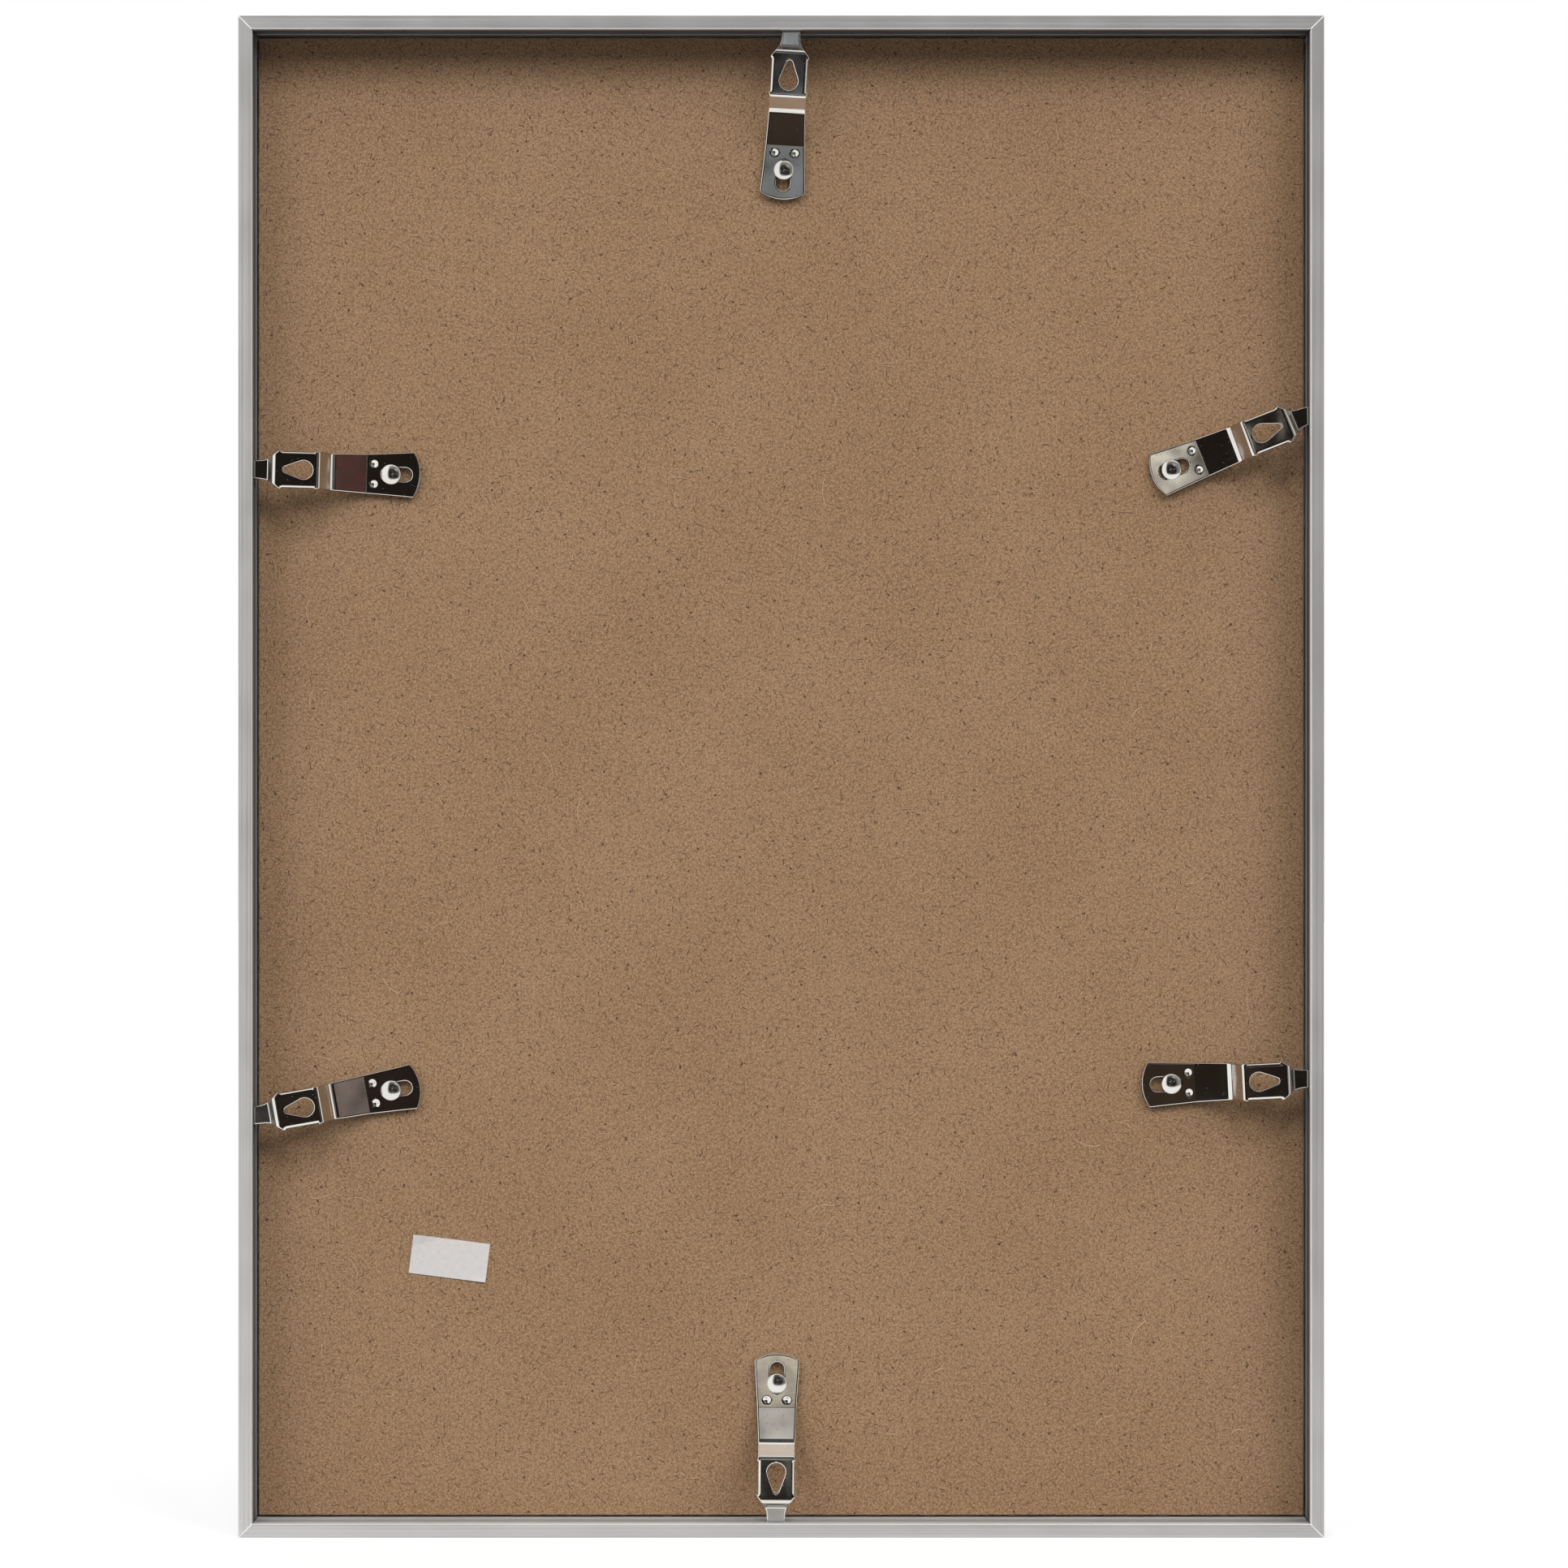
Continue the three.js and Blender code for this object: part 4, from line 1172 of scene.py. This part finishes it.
def turned_mesh(name, profile):
    """A closed solid from a profile of radius and height, which starts and ends on the axis."""
    work = bmesh.new()
    rings = []
    for radius, height in profile:
        count = ROUND_STEPS if radius > 0 else 1
        ring = []
        for i in range(count):
            angle = 2 * math.pi * i / count
            point = Vector((radius * math.cos(angle), radius * math.sin(angle), height)) * MM
            ring.append(work.verts.new(point))
        rings.append(ring)
    for low, high in zip(rings, rings[1:]):
        for i in range(ROUND_STEPS):
            j = i + 1
            corners = [low[i % len(low)], low[j % len(low)], high[j % len(high)], high[i % len(high)]]
            work.faces.new(list(dict.fromkeys(corners)))
    bmesh.ops.recalc_face_normals(work, faces=work.faces)
    mesh = bpy.data.meshes.new(name)
    work.to_mesh(mesh)
    work.free()
    return mesh


def seating_tree():
    tree, given = new_tree(
        "seat_on_board", Place="NodeSocketVector", Turn="NodeSocketFloat", Finish="NodeSocketMaterial"
    )
    end_tree(tree, seat(tree, given["Geometry"], given["Place"], given["Turn"]), given["Finish"])
    return tree


seat_on_board = seating_tree()
rivet_mesh = turned_mesh("rivet_shape", rivet_profile())
for name in clip_names:
    pin = new_thing(f"pin_{name}", rivet_mesh.copy())
    use_tree(pin, seat_on_board, {"Place": pivots[name], "Turn": turns[name], "Finish": rivet_nickel})
    rivet = plain_piece(pin, f"domed_rivet_{name}")
    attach(rivet, f"{name}_pivot")
    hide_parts(f"rivet_{name}")
print("rivets:", len(clip_names))

# %% [markdown]
# ## Label
#
# A small blank paper label is stuck on the board, a little askew. Two of its corners have begun to lift, by
# a fraction of a millimetre, so it is a fine sheet with thickness and not a flat card.

# %% Label
LABEL_WIDTH = 22.0
LABEL_HEIGHT = 11.0
LABEL_TURN = math.radians(-7.2)
LABEL_THICKNESS = 0.1
LABEL_GAP = 0.1
LABEL_LIFT = 0.3
LABEL_CELLS = (44, 22)
LOWER_CURL = (1.2, 0.8, 1.0)
UPPER_CURL = (1.4, 0.6, 0.5)


def curl(across, values):
    """How much a corner lifts: from a start across the label, over a reach, to a share of the whole lift."""
    start, reach, share = values
    return share * smooth((across - start) / reach)


def label_mesh():
    mesh = bpy.data.meshes.new("label_shape")
    work = bmesh.new()
    bmesh.ops.create_grid(work, x_segments=LABEL_CELLS[0], y_segments=LABEL_CELLS[1], size=0.5)
    for vertex in work.verts:
        x, y = vertex.co.x, vertex.co.y
        lift = LABEL_LIFT * (curl(2 * (x - y), LOWER_CURL) + curl(2 * (y - x), UPPER_CURL))
        vertex.co = Vector((x * LABEL_WIDTH, y * LABEL_HEIGHT, lift)) * MM
    work.to_mesh(mesh)
    work.free()
    return mesh


label_low, label_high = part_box("blank_label")
label_place = (label_low + label_high) / 2
label_place.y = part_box("back_board")[1].y + LABEL_GAP * MM
slip = new_thing("slip", label_mesh())
use_tree(slip, seat_on_board, {"Place": label_place, "Turn": LABEL_TURN, "Finish": label_paper})
thickness = slip.modifiers.new("thickness", "SOLIDIFY")
thickness.thickness = LABEL_THICKNESS * MM
thickness.offset = 0
label = plain_piece(slip, "paper_label")
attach(label, "frame")
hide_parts("blank_label")
print("label faces:", len(label.data.polygons))

# %% [markdown]
# ## Mitre seams
#
# The rails meet at the corners in a mitre, and the cut edges show as a fine pale line. A thin plate between
# each pair of rails, a hair below their faces, draws it.

# %% Mitre seams
SEAM_THICKNESS = 0.36
MARK_SIZE = 0.6 * MM
# Distance in from the outer corner and depth from the back face, round the plate
SEAM_OUTLINE = (
    (0.15, 0.02), (3.85, 0.02), (3.85, 1.1), (1.1, 1.1),
    (1.1, 13.5), (9.85, 13.5), (9.85, 14.85), (0.15, 14.85),
)


def seam_mesh():
    work = bmesh.new()
    for right in (-1, 1):
        for up in (-1, 1):
            corner = Vector((cad_high.x if right > 0 else cad_low.x, 0, cad_high.z if up > 0 else cad_low.z))
            sideways = Vector((right, 0, -up)).normalized() * SEAM_THICKNESS / 2 * MM
            rings = []
            for way in (-1, 1):
                rings.append([
                    work.verts.new(corner + Vector((-right * i, -depth, -up * i)) * MM + way * sideways)
                    for i, depth in SEAM_OUTLINE
                ])
            work.faces.new(rings[0])
            work.faces.new(rings[1][::-1])
            count = len(SEAM_OUTLINE)
            for i in range(count):
                j = (i + 1) % count
                work.faces.new((rings[0][i], rings[1][i], rings[1][j], rings[0][j]))
    bmesh.ops.recalc_face_normals(work, faces=work.faces)
    mesh = bpy.data.meshes.new("mitre_seams")
    work.to_mesh(mesh)
    work.free()
    return mesh


def bare_cut():
    finish, tree, shader = new_finish("bare_cut", paint(232, 232, 231), 0.5)
    marks = cloudiness(tree, object_place(tree), MARK_SIZE, detail=4.0)
    tone = blend_colours(tree, marks, paint(224, 224, 223), paint(238, 238, 237))
    feed(tree, shader.inputs["Base Color"], tone)
    return finish


seams = new_thing("mitre_seams", seam_mesh())
seams.data.materials.append(bare_cut())
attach(seams, "frame")
print("seam faces:", len(seams.data.polygons))

# %% [markdown]
# ## Loose fibres
#
# A few long pale fibres stand a hair proud of the board. They are scattered by a tree with a fixed seed:
# points on the board, a short bent hair on each, turned and sized at random. The sheet of faces that the
# points fall on leaves out the ground under the rivets and the label.

# %% Loose fibres
FIBRE_COUNT_PER_M2 = 1700.0
FIBRE_SEED = 5
TURN_SEED = 11
LENGTH_SEED = 23
BOW_SEED = 31
FIBRE_LENGTH = 5.0
FIBRE_BOW = 1.1
FIBRE_RADIUS = 0.045
FIBRE_STEPS = 8
FIBRE_SIDES = 4
FIBRE_SHORTEST = 0.35
FIBRE_LONGEST = 1.6
FIBRE_MOST_BOWED = 1.6
TINT_SIZE = 9 * MM
FIBRE_MARGIN = 8 * MM
GROUND_CELL = 6 * MM
CELL_CORNERS = ((-1, -1), (1, -1), (1, 1), (-1, 1))
RIVET_CLEARANCE = 13 * MM
LABEL_CLEARANCE = 16 * MM


def fibre_ground():
    """Flat faces on the board where fibres may lie, with x across and y down as the seated tree wants."""
    low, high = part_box("back_board")
    keep_off = [(pivot.x, pivot.z, RIVET_CLEARANCE) for pivot in pivots.values()]
    keep_off.append((label_place.x, label_place.z, LABEL_CLEARANCE))
    left, bottom = low.x + FIBRE_MARGIN, low.z + FIBRE_MARGIN
    columns = int((high.x - low.x - 2 * FIBRE_MARGIN) / GROUND_CELL)
    rows = int((high.z - low.z - 2 * FIBRE_MARGIN) / GROUND_CELL)
    half = GROUND_CELL / 2
    points, faces = [], []
    for column in range(columns):
        for row in range(rows):
            x = left + (column + 0.5) * GROUND_CELL
            z = bottom + (row + 0.5) * GROUND_CELL
            if any(math.hypot(x - off_x, z - off_z) < radius for off_x, off_z, radius in keep_off):
                continue
            faces.append(range(len(points), len(points) + 4))
            points += [(x + right * half, -z + up * half, 0) for right, up in CELL_CORNERS]
    mesh = bpy.data.meshes.new("fibre_ground")
    mesh.from_pydata(points, [], [tuple(face) for face in faces])
    return mesh


def random_between(tree, low, high, seed):
    node = add(tree, "FunctionNodeRandomValue", data_type="FLOAT")
    node.inputs[2].default_value = low
    node.inputs[3].default_value = high
    node.inputs["Seed"].default_value = seed
    return node.outputs[1]


def bent_hair(tree, given):
    """A thin closed tube along a bow-shaped curve."""
    hair = add(tree, "GeometryNodeCurveQuadraticBezier")
    hair.inputs["Resolution"].default_value = FIBRE_STEPS
    ends = []
    for share in (-0.5, 0.5):
        end = add(tree, "ShaderNodeCombineXYZ")
        feed(tree, end.inputs["X"], calculate(tree, "MULTIPLY", given["Length"], share))
        ends.append(end.outputs[0])
    crown = add(tree, "ShaderNodeCombineXYZ")
    feed(tree, crown.inputs["Y"], given["Bow"])
    for name, value in zip(("Start", "Middle", "End"), (ends[0], crown.outputs[0], ends[1])):
        feed(tree, hair.inputs[name], value)
    ring = add(tree, "GeometryNodeCurvePrimitiveCircle")
    ring.inputs["Resolution"].default_value = FIBRE_SIDES
    feed(tree, ring.inputs["Radius"], given["Radius"])
    tube = add(tree, "GeometryNodeCurveToMesh")
    feed(tree, tube.inputs["Curve"], hair.outputs[0])
    feed(tree, tube.inputs["Profile Curve"], ring.outputs[0])
    tube.inputs["Fill Caps"].default_value = True
    return tube.outputs["Mesh"]


def fibre_tree():
    tree, given = new_tree(
        "scatter_fibres",
        Density="NodeSocketFloat",
        Seed="NodeSocketInt",
        Length="NodeSocketFloat",
        Bow="NodeSocketFloat",
        Radius="NodeSocketFloat",
        Place="NodeSocketVector",
        Finish="NodeSocketMaterial",
    )
    scatter = add(tree, "GeometryNodeDistributePointsOnFaces")
    feed(tree, scatter.inputs["Mesh"], given["Geometry"])
    feed(tree, scatter.inputs["Density"], given["Density"])
    feed(tree, scatter.inputs["Seed"], given["Seed"])
    turn = add(tree, "ShaderNodeCombineXYZ")
    feed(tree, turn.inputs["Z"], random_between(tree, 0.0, 2 * math.pi, TURN_SEED))
    place = add(tree, "GeometryNodeInstanceOnPoints")
    feed(tree, place.inputs["Points"], scatter.outputs["Points"])
    feed(tree, place.inputs["Instance"], bent_hair(tree, given))
    feed(tree, place.inputs["Rotation"], turn.outputs[0])
    size = add(tree, "ShaderNodeCombineXYZ")
    feed(tree, size.inputs["X"], random_between(tree, FIBRE_SHORTEST, FIBRE_LONGEST, LENGTH_SEED))
    feed(tree, size.inputs["Y"], random_between(tree, -FIBRE_MOST_BOWED, FIBRE_MOST_BOWED, BOW_SEED))
    size.inputs["Z"].default_value = 1.0
    feed(tree, place.inputs["Scale"], size.outputs[0])
    end_tree(tree, seat(tree, place.outputs["Instances"], given["Place"], 0.0), given["Finish"])
    return tree


def fibre_finish():
    finish, tree, shader = new_finish("loose_fibre", paint(186, 158, 126), 0.8)
    tint = cloudiness(tree, flat_place(tree), TINT_SIZE)
    tone = blend_colours(tree, tint, paint(160, 131, 101), paint(206, 180, 149))
    feed(tree, shader.inputs["Base Color"], tone)
    return finish


ground = new_thing("fibre_ground", fibre_ground())
use_tree(ground, fibre_tree(), {
    "Density": FIBRE_COUNT_PER_M2,
    "Seed": FIBRE_SEED,
    "Length": FIBRE_LENGTH * MM,
    "Bow": FIBRE_BOW * MM,
    "Radius": FIBRE_RADIUS * MM,
    "Place": (0.0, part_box("back_board")[1].y + FIBRE_RADIUS * MM, 0.0),
    "Finish": fibre_finish(),
})
fibres = plain_piece(ground, "loose_fibres")
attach(fibres, "frame")
print("fibre faces:", len(fibres.data.polygons))
